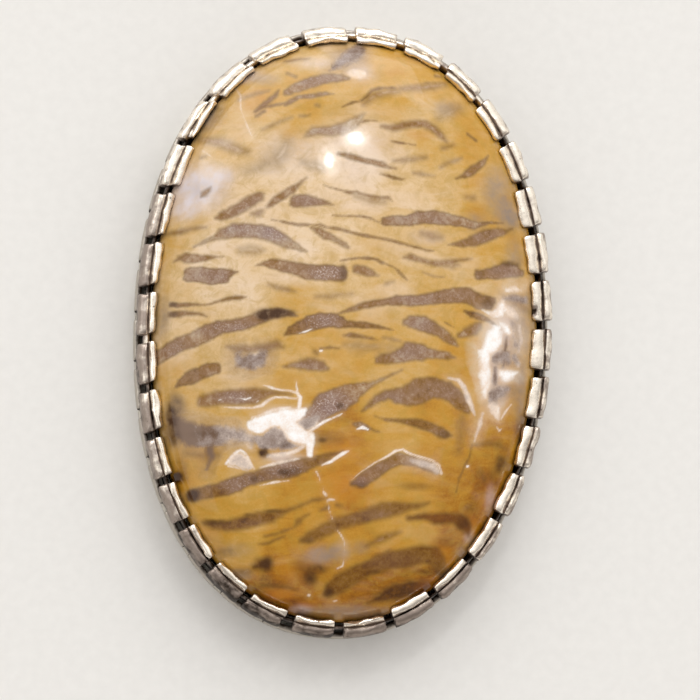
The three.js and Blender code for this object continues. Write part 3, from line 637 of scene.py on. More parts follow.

# Quartz that filled the cracks, given in the same way: tone 0 is white and 1 is smoky grey.
# A few entries are painted light instead, as marked.
QUARTZ_AND_GLINTS = [
    # The smoky band at the top end is partly the stone's own grey and partly a painted reflection
    # where the dome turns down.
    (0.92, 0.28, [(-1.7, 18.9, 0.15), (-0.9, 19.6, 0.4), (0, 20.3, 0.6), (0.6, 20.8, 0.5)]),
    # the left pocket: smoky inside, then its white body and its cream rims
    (1.15, 0.35, [(-12.4, -7.2, 0.5), (-11.9, -7.9, 0.8), (-11.2, -8.3, 0.9)]),
    (0.95, 0.35, [(-10.9, -8.3, 0.92), (-10.2, -8.4, 0.95), (-9.6, -8.35, 0.85)]),
    (0.68, 0.4, [(-9.2, -8.3, 0.75), (-8.4, -8.2, 0.7), (-7.7, -8.3, 0.55), (-7.1, -8.6, 0.4)]),
    (1.15, 0.3, [(-10, -9.3, 0.4), (-9.8, -9.8, 0.35), (-10.1, -10.7, 0.15)]),
    (0.3, 0.25, [(-7.4, -8.9, 0.1), (-7, -9.2, 0.1)]),
    (0.8, 0.18, [(-6.7, -8.5, 0.25), (-6.1, -8.8, 0.5), (-5.5, -8.6, 0.72), (-5.2, -8.4, 0.7),
        (-4.7, -8.9, 0.45), (-4.2, -9, 0.3), (-3.6, -9, 0.1)]),
    (0.75, 0.15, [(-5.5, -8, 0.35), (-5.3, -7.7, 0.2)]),
    (0.72, 0.15, [(-3.5, -7.4, 0.28), (-3.1, -7.45, 0.45), (-2.7, -7.3, 0.4), (-2.3, -6.9, 0.2)]),
    (0.02, 0.16, [(-7, -7.6, 0.35), (-6.5, -7.55, 0.6), (-5.8, -7.25, 0.55), (-5, -7.05, 0.6),
        (-4.4, -6.95, 0.62), (-3.9, -6.8, 0.5), (-3.5, -6.6, 0.35), (-3.2, -6.4, 0.15)]),
    (0.08, 0.18, [(-4.5, -7.5, 0.56), (-4.1, -7.9, 0.7), (-3.65, -8.2, 0.66), (-3.25, -8.35, 0.58),
        (-2.9, -8.5, 0.44)]),
    (0.6, 0.1, [(-3.95, -6.75, 0.1), (-3.85, -6.7, 0.1)]),
    (0.12, 0.12, [(-2.82, -8.3, 0.33), (-2.78, -9, 0.26), (-2.78, -9.6, 0.22)]),
    (0.3, 0.14, [(-7, -7, 0.05), (-6.2, -6.75, 0.1), (-5.6, -6.5, 0.12), (-5, -6.35, 0.13),
        (-4.3, -6.3, 0.1)]),
    (0.33, 0.14, [(-5.8, -9.75, 0.12), (-5, -9.68, 0.17), (-4.3, -9.55, 0.17), (-3.7, -9.3, 0.17),
        (-3.3, -9, 0.15)]),
    (0.3, 0.12, [(-6.3, -10.6, 0.04), (-5.6, -10.38, 0.11), (-4.9, -10.2, 0.12),
        (-4.2, -10.05, 0.1), (-3.5, -9.9, 0.05)]),
    (0.1, 0.09, [(-3, -8, 0.13), (-2.6, -7.75, 0.13), (-2.2, -7.45, 0.12), (-1.8, -7.2, 0.09),
        (-1.2, -6.95, 0.05), (-0.5, -6.6, 0.02)]),
    (0.2, 0.09, [(-3.65, -6.3, 0.14), (-3.6, -5.9, 0.14), (-3.58, -5.5, 0.13), (-3.8, -5.18, 0.1),
        (-4.4, -5.02, 0.07), (-5, -5, 0.06), (-5.6, -4.85, 0.08), (-6.3, -4.6, 0.04)]),
    (0.2, 0.07, [(-3.9, -4.3, 0.03), (-3.85, -4.8, 0.06), (-3.75, -5.2, 0.08)]),
    (0.3, 0.09, [(-3.9, -5.6, 0.06), (-4.6, -5.52, 0.07), (-5.4, -5.52, 0.08), (-5.9, -5.78, 0.1),
        (-6.3, -6.12, 0.1), (-6.9, -6.3, 0.08), (-8, -6.3, 0.07), (-9, -6.25, 0.03)]),
    (0.48, 0.12, [(-8.35, -10.2, 0.25), (-7.9, -10, 0.45), (-7.5, -10.2, 0.45),
        (-7.1, -10.5, 0.25)]),
    (0.15, 0.1, [(-8.75, -10.32, 0.1), (-8.4, -9.9, 0.12), (-8, -9.5, 0.12), (-7.75, -9.36, 0.12),
        (-7.45, -9.55, 0.09), (-7.1, -10.1, 0.07), (-6.75, -10.7, 0.04)]),
    (0.35, 0.1, [(-8.6, -10.5, 0.06), (-8, -10.62, 0.05), (-7.2, -10.8, 0.05)]),
    # the cleft along the right side: white columns, grey pools between them, and cream wedges
    (0.2, 0.3, [(11.7, 3, 0.12), (12.3, 3.15, 0.25), (12.8, 3.1, 0.15)]),
    (0.85, 0.28, [(11.5, 2.35, 0.15), (12.2, 2.4, 0.32), (13.1, 2.4, 0.35)]),
    (0.3, 0.28, [(11.5, 1.7, 0.3), (12, 1.4, 0.35), (12.4, 1.1, 0.2)]),
    (0.75, 0.35, [(12.1, 0.7, 0.12), (12.2, -0.2, 0.2), (12.5, -1, 0.15)]),
    (0.45, 0.3, [(12.7, 0.4, 0.1), (12.9, -0.6, 0.2), (12.7, -1.5, 0.1)]),
    (0.15, 0.2, [(9.7, 1.38, 0.04), (10.2, 1.2, 0.14), (10.7, 1.12, 0.22), (11.1, 1.3, 0.36),
        (11.3, 1.75, 0.32), (11.42, 2.2, 0.15)]),
    (0.05, 0.25, [(11.2, 0.5, 0.15), (11.6, 0.2, 0.32), (11.9, -0.1, 0.25)]),
    (0.02, 0.32, [(11, 0.35, 0.12), (10.9, 0, 0.42), (10.7, -0.6, 0.62), (10.45, -1.2, 0.56),
        (10.1, -1.6, 0.42), (9.6, -1.65, 0.12)]),
    (0.14, 0.38, [(10.05, -1.9, 0.5), (10, -2.7, 0.44), (10.05, -3.4, 0.48), (10.1, -4.2, 0.42),
        (10.1, -5, 0.2)]),
    (0.85, 0.28, [(10.75, -2.2, 0.32), (11.2, -2.05, 0.48), (11.65, -1.9, 0.45),
        (11.9, -2.3, 0.3)]),
    (1.1, 0.14, [(11.72, -0.5, 0.04), (11.66, -1.1, 0.14), (11.56, -1.7, 0.2), (11.52, -2.4, 0.14),
        (11.45, -2.75, 0.06)]),
    (0.72, 0.3, [(12.3, -1.9, 0.25), (12.7, -2.4, 0.28)]),
    (0.04, 0.3, [(11.3, -3.2, 0.26), (11.7, -3.3, 0.44), (12.1, -3.22, 0.34), (12.6, -3.05, 0.12)]),
    (0.9, 0.18, [(10.85, -2.8, 0.15), (10.85, -3.4, 0.2), (10.9, -4, 0.22)]),
    (0.85, 0.28, [(11.9, -4.3, 0.22), (11.3, -4.5, 0.45), (10.8, -4.8, 0.48), (10.5, -5.2, 0.25)]),
    (1.15, 0.14, [(10.42, -4.75, 0.1), (10.75, -5.05, 0.14)]),
    (0.3, 0.25, [(10.6, -5.6, 0.28), (10.9, -5.9, 0.42), (11.1, -6.3, 0.25), (11.2, -6.7, 0.05)]),
    (0.3, 0.1, [(12.2, -5.4, 0.03), (11.8, -5.9, 0.07), (11.4, -6.5, 0.06)]),
    (0.38, 0.22, [(9.95, -6.2, 0.12), (9.75, -7, 0.17), (9.5, -7.8, 0.12), (9.4, -8.2, 0.02)]),
    (0.4, 0.08, [(11.1, -7.1, 0.04), (11.3, -7.4, 0.06), (11.5, -7.2, 0.03)]),
    # single crystals and threads, and painted glints
    (0.86, 0.32, [(-8.1, -2.4, 0.35), (-7.9, -3, 0.5), (-7.2, -3, 0.7), (-6.6, -2.9, 0.55),
        (-6.3, -2.4, 0.4)]),
    (0.3, 0.2, [(-6.9, -2.45, 0.14), (-6.95, -2.75, 0.14), (-7.5, -3.2, 0.16), (-7.4, -3.4, 0.06)]),
    (0.45, 0.12, [(-8, -2.8, 0.04), (-7.8, -2.9, 0.06)]),
    (0.15, 0.06, [(-3.8, -0.88, 0.01), (-3.3, -0.72, 0.07), (-2.8, -0.5, 0.02)]),
    # From here to the dot at (-2.1, -2.1): painted glints, white spots where crystals in the polish
    # catch the lamps, drawn as white quartz.
    (0.1, 0.06, [(-7.9, -5.6, 0.02), (-7.5, -5.7, 0.06), (-7.15, -5.58, 0.06)]),
    (0.15, 0.06, [(-9.4, -5.75, 0.03), (-9.25, -5.7, 0.05)]),
    (0.2, 0.06, [(-8.7, -5.5, 0.02), (-8.55, -5.55, 0.04)]),
    (0.2, 0.06, [(-6.7, -5.9, 0.03), (-6.6, -5.8, 0.04)]),
    (0.1, 0.07, [(-2.2, -2.1, 0.08), (-2.1, -2.1, 0.08)]),
    (0.3, 0.1, [(-1.7, -12.3, 0.07), (-1.5, -12.5, 0.08)]),
    (0.3, 0.1, [(-1.4, -12.85, 0.04), (-1.2, -12.8, 0.07), (-0.9, -12.8, 0.03)]),
    (0.35, 0.1, [(-1.3, -13.4, 0.06), (-1.2, -13.7, 0.06)]),
    (0.35, 0.1, [(-1.1, -13.95, 0.04), (-1, -14.2, 0.05)]),
    (0.5, 0.08, [(-1.75, -12, 0), (-1.5, -12.7, 0.01), (-1.25, -13.4, 0), (-0.95, -14.3, 0)]),
    (0.1, 0.07, [(0.55, -7.72, 0.04), (1, -7.55, 0.14), (1.4, -7.7, 0.07)]),
    # A painted glint where a crystal catches the lamps, drawn as white quartz.
    (0.1, 0.06, [(8.88, -10.1, 0.08), (8.95, -10.1, 0.08)]),
    (0.42, 0.14, [(7.2, -3.75, 0.03), (8, -3.9, 0.12), (8.5, -4.4, 0.18), (8.8, -5.2, 0.2),
        (9.1, -5.8, 0.16), (9.3, -6.3, 0.08)]),
    (0.3, 0.07, [(0.3, -11.4, 0), (0.8, -10.9, 0.02), (1.4, -10.48, 0.04), (2, -10.05, 0.05),
        (2.6, -9.75, 0.06), (3, -9.5, 0.07), (3.5, -9.15, 0.09), (4, -9.08, 0.09),
        (4.4, -9.3, 0.08), (5, -9.5, 0.07), (5.6, -9.62, 0.07), (6.3, -9.82, 0.07),
        (6.75, -10.15, 0.08), (6.95, -10.7, 0.06)]),
    (0.5, 0.25, [(4.6, -9.85, 0.15), (5.4, -10, 0.25), (6.2, -10.2, 0.28), (6.6, -10.6, 0.15)]),
    (0.3, 0.08, [(-6.3, -11.9, 0.02), (-5.2, -11.62, 0.08), (-4.2, -11.5, 0.04)]),
    (0.15, 0.08, [(-1.9, -10.35, 0.07), (-1.2, -10.05, 0.1), (-0.8, -9.75, 0.1),
        (-0.3, -9.42, 0.11), (0, -9.3, 0.07)]),
    (0.3, 0.08, [(-2.3, -10.8, 0.04), (-2.1, -11.1, 0.06), (-2, -11.45, 0.04)]),
    (0.4, 0.08, [(-0.65, -14.95, 0.03), (-0.35, -15.3, 0.05), (-0.1, -15.7, 0.04), (0, -16.2, 0.01),
        (0, -17, 0.01), (-0.1, -17.55, 0.04), (-0.5, -17.75, 0.05)]),
    (0.3, 0.12, [(-8.6, 17.8, 0.03), (-8.2, 17, 0.04), (-8.2, 16, 0.04), (-7.9, 15, 0.04),
        (-7.4, 13.8, 0.02)]),
    (0.35, 0.1, [(-2.5, -19.7, 0.06), (-2.4, -19.7, 0.06)]),
    (0.35, 0.1, [(-0.6, -20.1, 0.06), (-0.4, -20.05, 0.04)]),
    (0.35, 0.1, [(-10.9, 12.8, 0.04), (-10.2, 12.2, 0.02)]),
]

# Soft patches in the chalcedony, pale lilac, ashy grey, rusty and dark brown: the x, y, half
# width, half height and strength of each. A glow and a strip of shade among them are painted
# light instead, as marked.
LILAC_CLOUDS = [
    (-8, 18.6, 1.3, 0.6, 0.6), (-11.2, 9.9, 1.9, 1.7, 0.95), (-9.6, 10.7, 1.1, 0.8, 0.6),
    (-12.1, 8.5, 1, 1, 0.6), (10.9, 10.9, 0.6, 1.3, 0.1), (-10.6, 16.2, 0.6, 1.4, 0.5),
    (0.4, 13, 3.2, 2.6, 0.22), (5.5, 6.5, 1.4, 0.6, 0.3), (-3, 19.6, 1.5, 0.5, 0.3),
    (-4.5, 12.4, 2.2, 1.6, 0.3), (-1.9, -16.8, 0.8, 0.5, 0.25), (-0.2, -16.4, 0.6, 0.7, 0.2),
    (10.8, -12.3, 0.4, 0.9, 0.45), (9.3, -15.1, 0.4, 0.6, 0.35), (-2.8, -20.7, 0.7, 0.35, 0.4),
    # (0.5, 18.9) is a painted glow round the spot of the far lamp, not a patch in the stone.
    (0.2, 20.3, 0.8, 0.5, 0.2), (0.5, 18.9, 1.2, 0.9, 0.4), (10.8, -3.6, 1, 2.4, 0.5),
    (11.6, 0, 1.5, 2.6, 0.55), (11.4, -4.6, 0.6, 1.4, 0.3), (-4.6, -9.9, 1.5, 0.4, 0.55),
    (-4.6, -6.6, 1.6, 0.4, 0.4),
]
ASH_CLOUDS = [
    (-13.5, 0.4, 0.5, 1.6, 0.6), (12.8, -4.8, 0.7, 1.8, 0.45), (13.2, 0.4, 0.9, 2.6, 0.45),
    (-8, -8.9, 1.2, 0.8, 0.3), (-7.5, -18.3, 1, 0.5, 0.7), (0.6, -20.8, 3.2, 0.45, 0.7),
    # (13.1, -5.5) is painted shade: a strip along the right-hand rim, where the stone's side lies
    # in shade.
    (8.8, -16.5, 0.5, 0.7, 0.5), (7.6, -17.9, 0.5, 0.6, 0.5), (13.1, -5.5, 0.35, 3.5, 0.4),
    (-7, 11.4, 1.6, 0.5, 0.2), (-10.9, 9.8, 1, 0.8, 0.3), (-5.8, 12.3, 1.1, 0.7, 0.18),
    (-6.3, 18.2, 1, 0.5, 0.45), (-0.6, 20, 1, 0.7, 0.3), (2.6, -2, 1, 0.9, 0.25),
    (9.1, 7.9, 1, 0.7, 0.55), (10.9, 10.4, 1.3, 1.8, 0.65), (11.9, 8.6, 1.1, 1.1, 0.85),
    (12.3, 5.4, 0.8, 1.6, 0.5), (-12.3, -6.8, 0.6, 1.2, 0.5), (12.2, 2, 1, 0.7, 0.3),
    (0.3, 20.2, 0.8, 0.6, 0.5), (-2.4, -17.3, 1.2, 0.5, 0.35), (-1.2, -16.7, 1.4, 0.65, 0.75),
    (-7.8, -16.5, 1.2, 0.6, 0.3), (1.1, -16.2, 0.7, 0.5, 0.4), (7, 16.5, 0.9, 0.6, 0.5),
    (12.8, 0.4, 0.6, 0.8, 0.4), (12.8, -3.2, 0.6, 0.8, 0.35),
]
RUST_CLOUDS = [
    (-0.3, -11.8, 1.8, 1.5, 0.5), (-0.4, -9.2, 1.2, 1, 0.45), (-3.4, -17.9, 1.6, 0.7, 0.35),
    (-4.4, -19.6, 1.3, 0.5, 0.6), (-2.4, -20.3, 0.8, 0.3, 0.4), (6.6, -18.6, 1, 0.5, 0.5),
    (9.2, -14.2, 0.8, 0.8, 0.5), (7, -13.9, 1.6, 0.35, 0.45), (6.4, -19, 1.4, 0.4, 0.45),
    (7.4, -16.4, 0.8, 0.6, 0.4), (7, -15.8, 0.8, 0.4, 0.4), (10.4, -12, 0.8, 1.2, 0.3),
    (5, 14.2, 1, 0.4, 0.25), (9.2, 11, 0.8, 0.7, 0.12), (-7, 16.4, 1.2, 1, 0.25),
]
UMBER_STAINS = [
    (-1.9, -17.8, 0.8, 0.35, 0.6), (-8.6, -16.7, 0.8, 0.4, 0.3), (5, -11.7, 1.3, 0.3, 0.35),
    (7.2, -15.7, 0.7, 0.35, 0.3), (-6.3, 0.35, 0.5, 0.35, 0.8), (-5.6, 0.6, 1.2, 0.4, 0.6),
    (-4.5, 0.6, 0.6, 0.25, 0.5), (-0.65, 3.65, 0.3, 0.6, 0.5), (-12.8, 1.3, 0.3, 0.25, 0.5),
    (-12.8, 0.6, 0.4, 0.25, 0.45), (-11, -12.6, 0.55, 0.5, 0.9), (-6.7, -11.4, 0.35, 0.25, 0.6),
    (-4.6, -10.9, 0.5, 0.3, 0.6), (-3.8, -10.8, 0.4, 0.25, 0.5), (-9.4, -14.55, 0.9, 0.22, 0.5),
    (-7, -14, 0.4, 0.15, 0.4), (-5.3, -13.7, 0.6, 0.15, 0.5), (10.2, 1.9, 0.5, 0.55, 0.4),
    (9.5, 4, 0.35, 0.4, 0.3), (11.9, 5, 0.8, 0.25, 0.4), (0.9, -11.7, 0.6, 0.3, 0.4),
    (-1, -19.5, 0.4, 0.4, 0.6), (8.8, -14.2, 0.6, 0.5, 0.5), (-12.4, -8.5, 0.4, 0.6, 0.45),
    (-12.7, -7, 0.5, 1.7, 0.72), (-12, -10.9, 0.6, 1, 0.4), (13.1, -7.2, 0.5, 1.2, 0.5),
    (-12.2, -6, 0.5, 0.7, 0.35), (-5.7, 0.55, 1.1, 0.35, 0.7), (-12.2, -11.3, 0.5, 0.4, 0.8),
    (-0.7, -6.05, 0.3, 0.2, 0.7), (7, -7.9, 0.6, 0.35, 0.4), (11.5, -9.8, 0.4, 0.6, 0.6),
    (-6.1, -9.5, 0.38, 0.38, 0.95), (-2.4, -18.4, 0.5, 0.5, 0.6), (-3.1, -7.7, 0.15, 0.2, 0.3),
    (-10.1, -8.2, 1.2, 0.3, 0.25), (-4.6, -8.95, 0.6, 0.2, 0.35), (5.9, -17.8, 1.4, 0.2, 0.3),
    (2.6, -17.95, 1, 0.15, 0.4), (-1.9, -8.55, 0.35, 0.2, 0.5), (-2.7, -15.8, 0.5, 0.3, 0.3),
    (-5.6, -17.6, 0.4, 0.5, 0.5),
]
# Where the wood's remains are frosted with fine crystals, given in the same way.
FROST = [
    (-7.5, 8.3, 1.6, 1, 0.5), (-5.6, 6.5, 1.8, 0.8, 0.9), (-8.3, 6.7, 1.4, 0.6, 0.65),
    (-3.4, 8.9, 1.4, 0.6, 0.45), (-10, 3.3, 2, 0.8, 0.55), (-1.9, 3.6, 1.4, 0.8, 1),
    (-4.3, 3.9, 1.2, 0.6, 0.3), (5, 7.8, 2.8, 0.7, 0.45), (9.8, 6.8, 1.8, 0.8, 0.45),
    (-1.9, 14.3, 1.6, 0.6, 0.6), (-9.4, 13.2, 1.8, 0.5, 0.2), (-2.6, 18.1, 2, 0.5, 0.5),
    (5.2, 17.8, 2, 0.5, 0.4), (11.4, 4.4, 1.6, 0.7, 0.45), (-2.2, 0.1, 2, 0.8, 0.75),
    (-8.8, -0.5, 2.4, 0.8, 0.7), (-12.6, -2, 1.2, 0.8, 0.6), (5, 2, 3, 0.8, 0.5),
    (5.2, 0, 1.4, 0.8, 0.5), (8.4, 2.4, 1.4, 0.7, 0.35), (4.4, -2, 2, 0.9, 0.5),
    (-1.4, -6, 1.7, 1.2, 1), (-2.8, -7.2, 1, 0.7, 0.8), (6.4, -4.7, 2.4, 0.9, 0.45),
    (-8.2, -5.55, 1.6, 0.5, 0.7), (-3, -3.2, 1.2, 0.4, 0.45), (-7.5, -11.7, 2.8, 0.9, 0.6),
    (-4.4, -10.7, 1.6, 0.6, 0.8), (0.9, -11.5, 0.9, 0.6, 0.5), (2.4, -10.4, 1.2, 0.6, 0.4),
    (-11, -3.9, 1.3, 0.5, 0.35), (-7.8, -14.7, 2.2, 0.6, 0.35), (1.4, -14, 2.4, 0.6, 0.25),
    (3.6, -17.2, 2.4, 0.8, 0.2), (3, -5.4, 1.4, 0.6, 0.4),
]
# How far the ground colour has gone from cream (0) through gold to rust (1): x, y, reach, value.
# It deepens towards the bottom end, partly the stone's own colour and partly painted shade.
WARMTH = [
    (-2.5, 20.2, 1.6, 0.38), (-8, 17.8, 1.6, 0.5), (6.5, 18, 1.8, 0.56), (-9, 14.5, 1.6, 0.42),
    (2.5, 19.2, 1.4, 0.6), (-3.5, 17.3, 1.5, 0.64), (2.5, 16.4, 1.4, 0.52), (6, 16.3, 1.4, 0.44),
    (-6, 19, 1, 0.4), (-1, 15.9, 1.2, 0.46), (-5, 15.2, 1.4, 0.5), (9, 16.6, 1, 0.6),
    (9, 14, 1.6, 0.6), (6, 13.2, 1.4, 0.5), (0.4, 12.2, 2, 0.04), (4, 10.5, 1.8, 0.28),
    (-6.5, 13.2, 1.2, 0.28), (2.5, 13.6, 1.2, 0.34), (-6, 9.8, 1.5, 0.18), (-1, 8.3, 2, 0.22),
    (7, 10, 1.6, 0.38), (9, 10.2, 1.2, 0.5), (11.8, 8.6, 1.3, 0.62), (3, 6.9, 1.8, 0.34),
    (-12, 7.4, 1.2, 0.4), (-13, 5.5, 1, 0.48), (9, 8.7, 1, 0.66), (6, 8.9, 1, 0.32),
    (12.3, 6, 1.2, 0.56), (-9.5, 5.2, 1.6, 0.1), (-4, 5, 1.6, 0.14), (-9, 2.2, 1.8, 0.14),
    (-12.5, 2.4, 1, 0.38), (-4.2, 1.4, 1.2, 0.5), (2, 5.6, 1.5, 0.4), (3, 3, 1.8, 0.38),
    (8, 5.5, 1.2, 0.42), (8.5, 3.4, 1, 0.42), (5.5, 1, 1.6, 0.5), (8, 0.3, 1.2, 0.52),
    (0.5, 2.4, 1.2, 0.36), (-1.5, 4.9, 1, 0.26), (-2, -1.4, 1.2, 0.54), (2, -1, 1.4, 0.52),
    (-11.5, -0.2, 1.4, 0.3), (-9, -2.2, 2, 0.34), (-6, -3.8, 1.3, 0.5), (-10, -4.5, 1.4, 0.4),
    (-5, -4.3, 1, 0.56), (-5, -6, 0.8, 0.52), (-10, -6.8, 1.2, 0.46), (4, -3.8, 1.5, 0.46),
    (8, -2.6, 1.4, 0.64), (6.5, -6.2, 1.3, 0.68), (-0.5, -7.6, 1.4, 0.78), (3.5, -8.2, 1.6, 0.58),
    (2.5, -6.2, 1, 0.55), (6.5, -9, 1.4, 0.7), (9.6, -4.4, 0.8, 0.58), (9, -8, 1.2, 0.72),
    (0.5, -10.8, 1.6, 0.7), (-11, -10, 1, 0.6), (12.2, -7.8, 0.9, 0.8), (12.9, -5.4, 0.7, 0.7),
    (11.2, -9.6, 0.9, 0.78), (-9, -11, 1.2, 0.5), (-7, -10.6, 1, 0.54), (4, -12, 1.6, 0.64),
    (8.3, -12, 1.4, 0.8), (10.2, -11.6, 1, 0.95), (-8, -13.5, 1.4, 0.54), (-3, -12, 1.8, 0.66),
    (-1.5, -13, 1, 0.74), (-7.5, -16.2, 1.3, 0.54), (-9.2, -15.6, 0.8, 0.7), (-4, -16, 1.4, 0.76),
    (1, -15.4, 1.2, 0.7), (5, -15, 1.4, 0.6), (-3.5, -18.5, 1.2, 0.86), (-5, -19.8, 1.4, 0.98),
    (-1.5, -18, 1, 0.76), (1.5, -19.5, 1.2, 0.85), (4, -18, 1.2, 0.84), (8, -15.4, 1, 0.86),
    (6.8, -18.4, 1, 1), (-3.5, -20.3, 1, 0.92), (-7.4, -17.6, 0.8, 0.68), (-12, -11.8, 0.8, 0.7),
    (9.2, -13.2, 0.7, 1), (0.8, -13.1, 0.9, 0.8), (-6.2, 17, 0.9, 0.6), (-12.8, -4.2, 0.9, 0.5),
    (-6.2, -0.6, 0.8, 0.42),
]


def dome_height(level):
    """Height of the dome where level is 0 at the crown and 1 at the girdle."""
    rise = STONE_HEIGHT - GIRDLE_HEIGHT
    return GIRDLE_HEIGHT + rise * (1 - level ** DOME_POWER) ** DOME_ROUNDING


bm = bmesh.new()
bmesh.ops.create_grid(bm, x_segments=STONE_ACROSS, y_segments=STONE_ALONG, size=1)
rim = [edge for edge in bm.edges if edge.is_boundary]
side = bmesh.ops.extrude_edge_only(bm, edges=rim)
foot = [v for v in side["geom"] if isinstance(v, bmesh.types.BMVert)]
foot_rim = [e for e in side["geom"] if isinstance(e, bmesh.types.BMEdge)]
bmesh.ops.translate(bm, verts=foot, vec=(0, 0, -1))
bmesh.ops.contextual_create(bm, geom=foot_rim)
for vert in bm.verts:
    # The square grid becomes a round one, then an oval dome: near the rim it falls alike all round.
    round_x = vert.co.x * math.sqrt(1 - vert.co.y ** 2 / 2)
    round_y = vert.co.y * math.sqrt(1 - vert.co.x ** 2 / 2)
    level = min(math.hypot(round_x, round_y), 1)
    share = 0.25 - math.atan2(round_y, round_x) / (2 * math.pi)
    x, y, normal_x, normal_y = round_the_oval(share)
    x, y = x + normal_x * STONE_TUCK, y + normal_y * STONE_TUCK
    rim_reach = RIM_REACH / (x * normal_x + y * normal_y)
    inward = (1 - level) * (1 + (rim_reach - 1) * level ** 4)
    height = PLATE_THICKNESS if vert.co.z < -0.5 else dome_height(level)
    vert.co = (x * (1 - inward), y * (1 - inward), height)

# Polished petrified wood: agate-like quartz, lapped and buffed to a gloss, so lamps show as small
# clear spots on it. The ground runs from cream to rust in soft clouds, with faint streaks along the
# grain. The remains of the wood are speckled with fine crystals and have ragged, darker borders.
GROUND = [(0, "#e8d0b4"), (0.2, "#dfc198"), (0.4, "#cfa96c"), (0.55, "#c89945"),
          (0.7, "#bd8829"), (0.85, "#a16814"), (1, "#703d0a")]
WOOD = [(0, "#c8b49c"), (0.2, "#b69e80"), (0.38, "#a28262"), (0.5, "#906b46"), (0.68, "#835b1f"),
        (0.82, "#6e4409"), (1, "#4a2a0c")]
CLEAR = [(0, "#fefcfa"), (0.3, "#eed9c6"), (0.55, "#cdbbae"), (0.78, "#a19087"), (1, "#7d6452")]
LILAC, ASH, RUST, UMBER = "#d9ced0", "#917f70", "#c07511", "#462a10"
HAZE, KHAKI = "#ead2bd", "#b08b34"
MAUVE, RIND, SPECKS, SIENNA = "#866f6d", "#6b5126", "#d3c1ba", "#7d4516"

stone_finish, tree, place = new_finish("polished_petrified_wood")
(wood_mark, wood_edge, wood_tone, quartz_and_glints, quartz_and_glints_edge, quartz_and_glints_tone, lilac, ash, rust, umber,
 frost, warmth) = (
    add_node(tree, "Attribute", {}, 2, attribute_name=name)
    for name in ("wood", "wood_edge", "wood_tone", "quartz_and_glints", "quartz_and_glints_edge", "quartz_and_glints_tone",
                 "lilac", "ash", "rust", "umber", "frost", "warmth"))
upright = add_node(tree, "Mapping", {"Vector": place, "Scale": (1, 0.4, 1)})
grain = add_node(tree, "Mapping", {"Vector": place, "Scale": (1, 2.6, 1), "Rotation": (0, 0, 0.12)})
banks = add_node(tree, "Mapping", {"Vector": place, "Scale": (1, 2, 1), "Location": (0.02, 0, 0)})
# Each pattern's size in millimetres, then its detail, roughness and distortion. The crystals are
# finer than 0.15 mm on the real stone, and are drawn coarser so that they show.
torn, crystals, mottle, fibres, clouds, streaks, drifts, lace = (
    add_node(tree, "TexNoise", {"Vector": where, "Scale": 1 / (size * MM), "Detail": detail,
                                "Roughness": roughness, "Distortion": distortion})
    for where, size, detail, roughness, distortion in (
        (place, 0.7, 5, 0.55, 0), (place, 0.15, 2, 0.7, 0), (place, 0.45, 3, 0.6, 0.3),
        (upright, 0.24, 3, 0.6, 0.4), (place, 2.6, 4, 0.55, 0.6), (grain, 2.4, 5, 0.58, 1.2),
        (banks, 4.5, 4, 0.5, 1), (place, 1.1, 6, 0.68, 0.8)))
# The warmth map carries painted shade as well, deepening the ground towards the bottom end.
ground = warmth
for amount, pattern in ((0.34, clouds), (0.3, streaks), (0.16, crystals)):
    ground = add_node(tree, "Math", {0: pattern, 1: amount, 2: ground}, operation="MULTIPLY_ADD")
ground = add_node(tree, "Math", {0: ground, 1: 0.4}, operation="SUBTRACT")
colour = add_node(tree, "ValToRGB", {0: ground}, stops=GROUND)
dusty = add_node(tree, "MapRange", {0: lace, 1: 0.42, 2: 0.66, 3: 0.0, 4: 0.42},
                 interpolation_type="SMOOTHSTEP")
colour = add_node(tree, "Mix", {0: dusty, 6: colour, 7: linear(KHAKI)}, 2, data_type="RGBA")
pale = add_node(tree, "MapRange", {0: warmth, 1: 0.25, 2: 0.6, 3: 0.42, 4: 0.1})
haze = add_node(tree, "MapRange", {0: drifts, 1: 0.44, 2: 0.72, 3: 0.0, 4: pale},
                interpolation_type="SMOOTHSTEP")
colour = add_node(tree, "Mix", {0: haze, 6: colour, 7: linear(HAZE)}, 2, data_type="RGBA")
uneven = add_node(tree, "MapRange", {0: torn, 1: 0.3, 2: 0.65, 3: 0.6, 4: 1.15})
for field, shade in ((lilac, LILAC), (ash, ASH), (rust, RUST)):
    thin = add_node(tree, "Math", {0: field, 1: uneven}, operation="MULTIPLY", use_clamp=True)
    colour = add_node(tree, "Mix", {0: thin, 6: colour, 7: linear(shade)}, 2, data_type="RGBA")

tear = add_node(tree, "Math", {0: torn, 1: 0.26, 2: -0.13}, operation="MULTIPLY_ADD")
tear = add_node(tree, "Math", {0: crystals, 1: 0.05, 2: tear}, operation="MULTIPLY_ADD")
inside = add_node(tree, "Math", {0: wood_mark, 1: tear}, operation="ADD")
inside = add_node(tree, "Math", {0: inside, 1: 0.035}, operation="SUBTRACT")
cover = add_node(tree, "Math", {0: inside, 1: wood_edge}, operation="DIVIDE")
cover = add_node(tree, "MapRange", {0: cover, 1: -2.0, 2: 2.2, 3: 0.0, 4: 0.95},
                 interpolation_type="SMOOTHSTEP")
border = add_node(tree, "MapRange", {0: inside, 1: 0.03, 2: 0.22, 3: 1.0, 4: 0.0},
                  interpolation_type="SMOOTHSTEP")
wood = add_node(tree, "Math", {0: fibres, 1: -0.2, 2: -1.0}, operation="MULTIPLY_ADD")
for amount, pattern in ((1.0, lace), (0.75, mottle), (0.7, clouds), (-0.15, crystals)):
    wood = add_node(tree, "Math", {0: pattern, 1: amount, 2: wood}, operation="MULTIPLY_ADD")
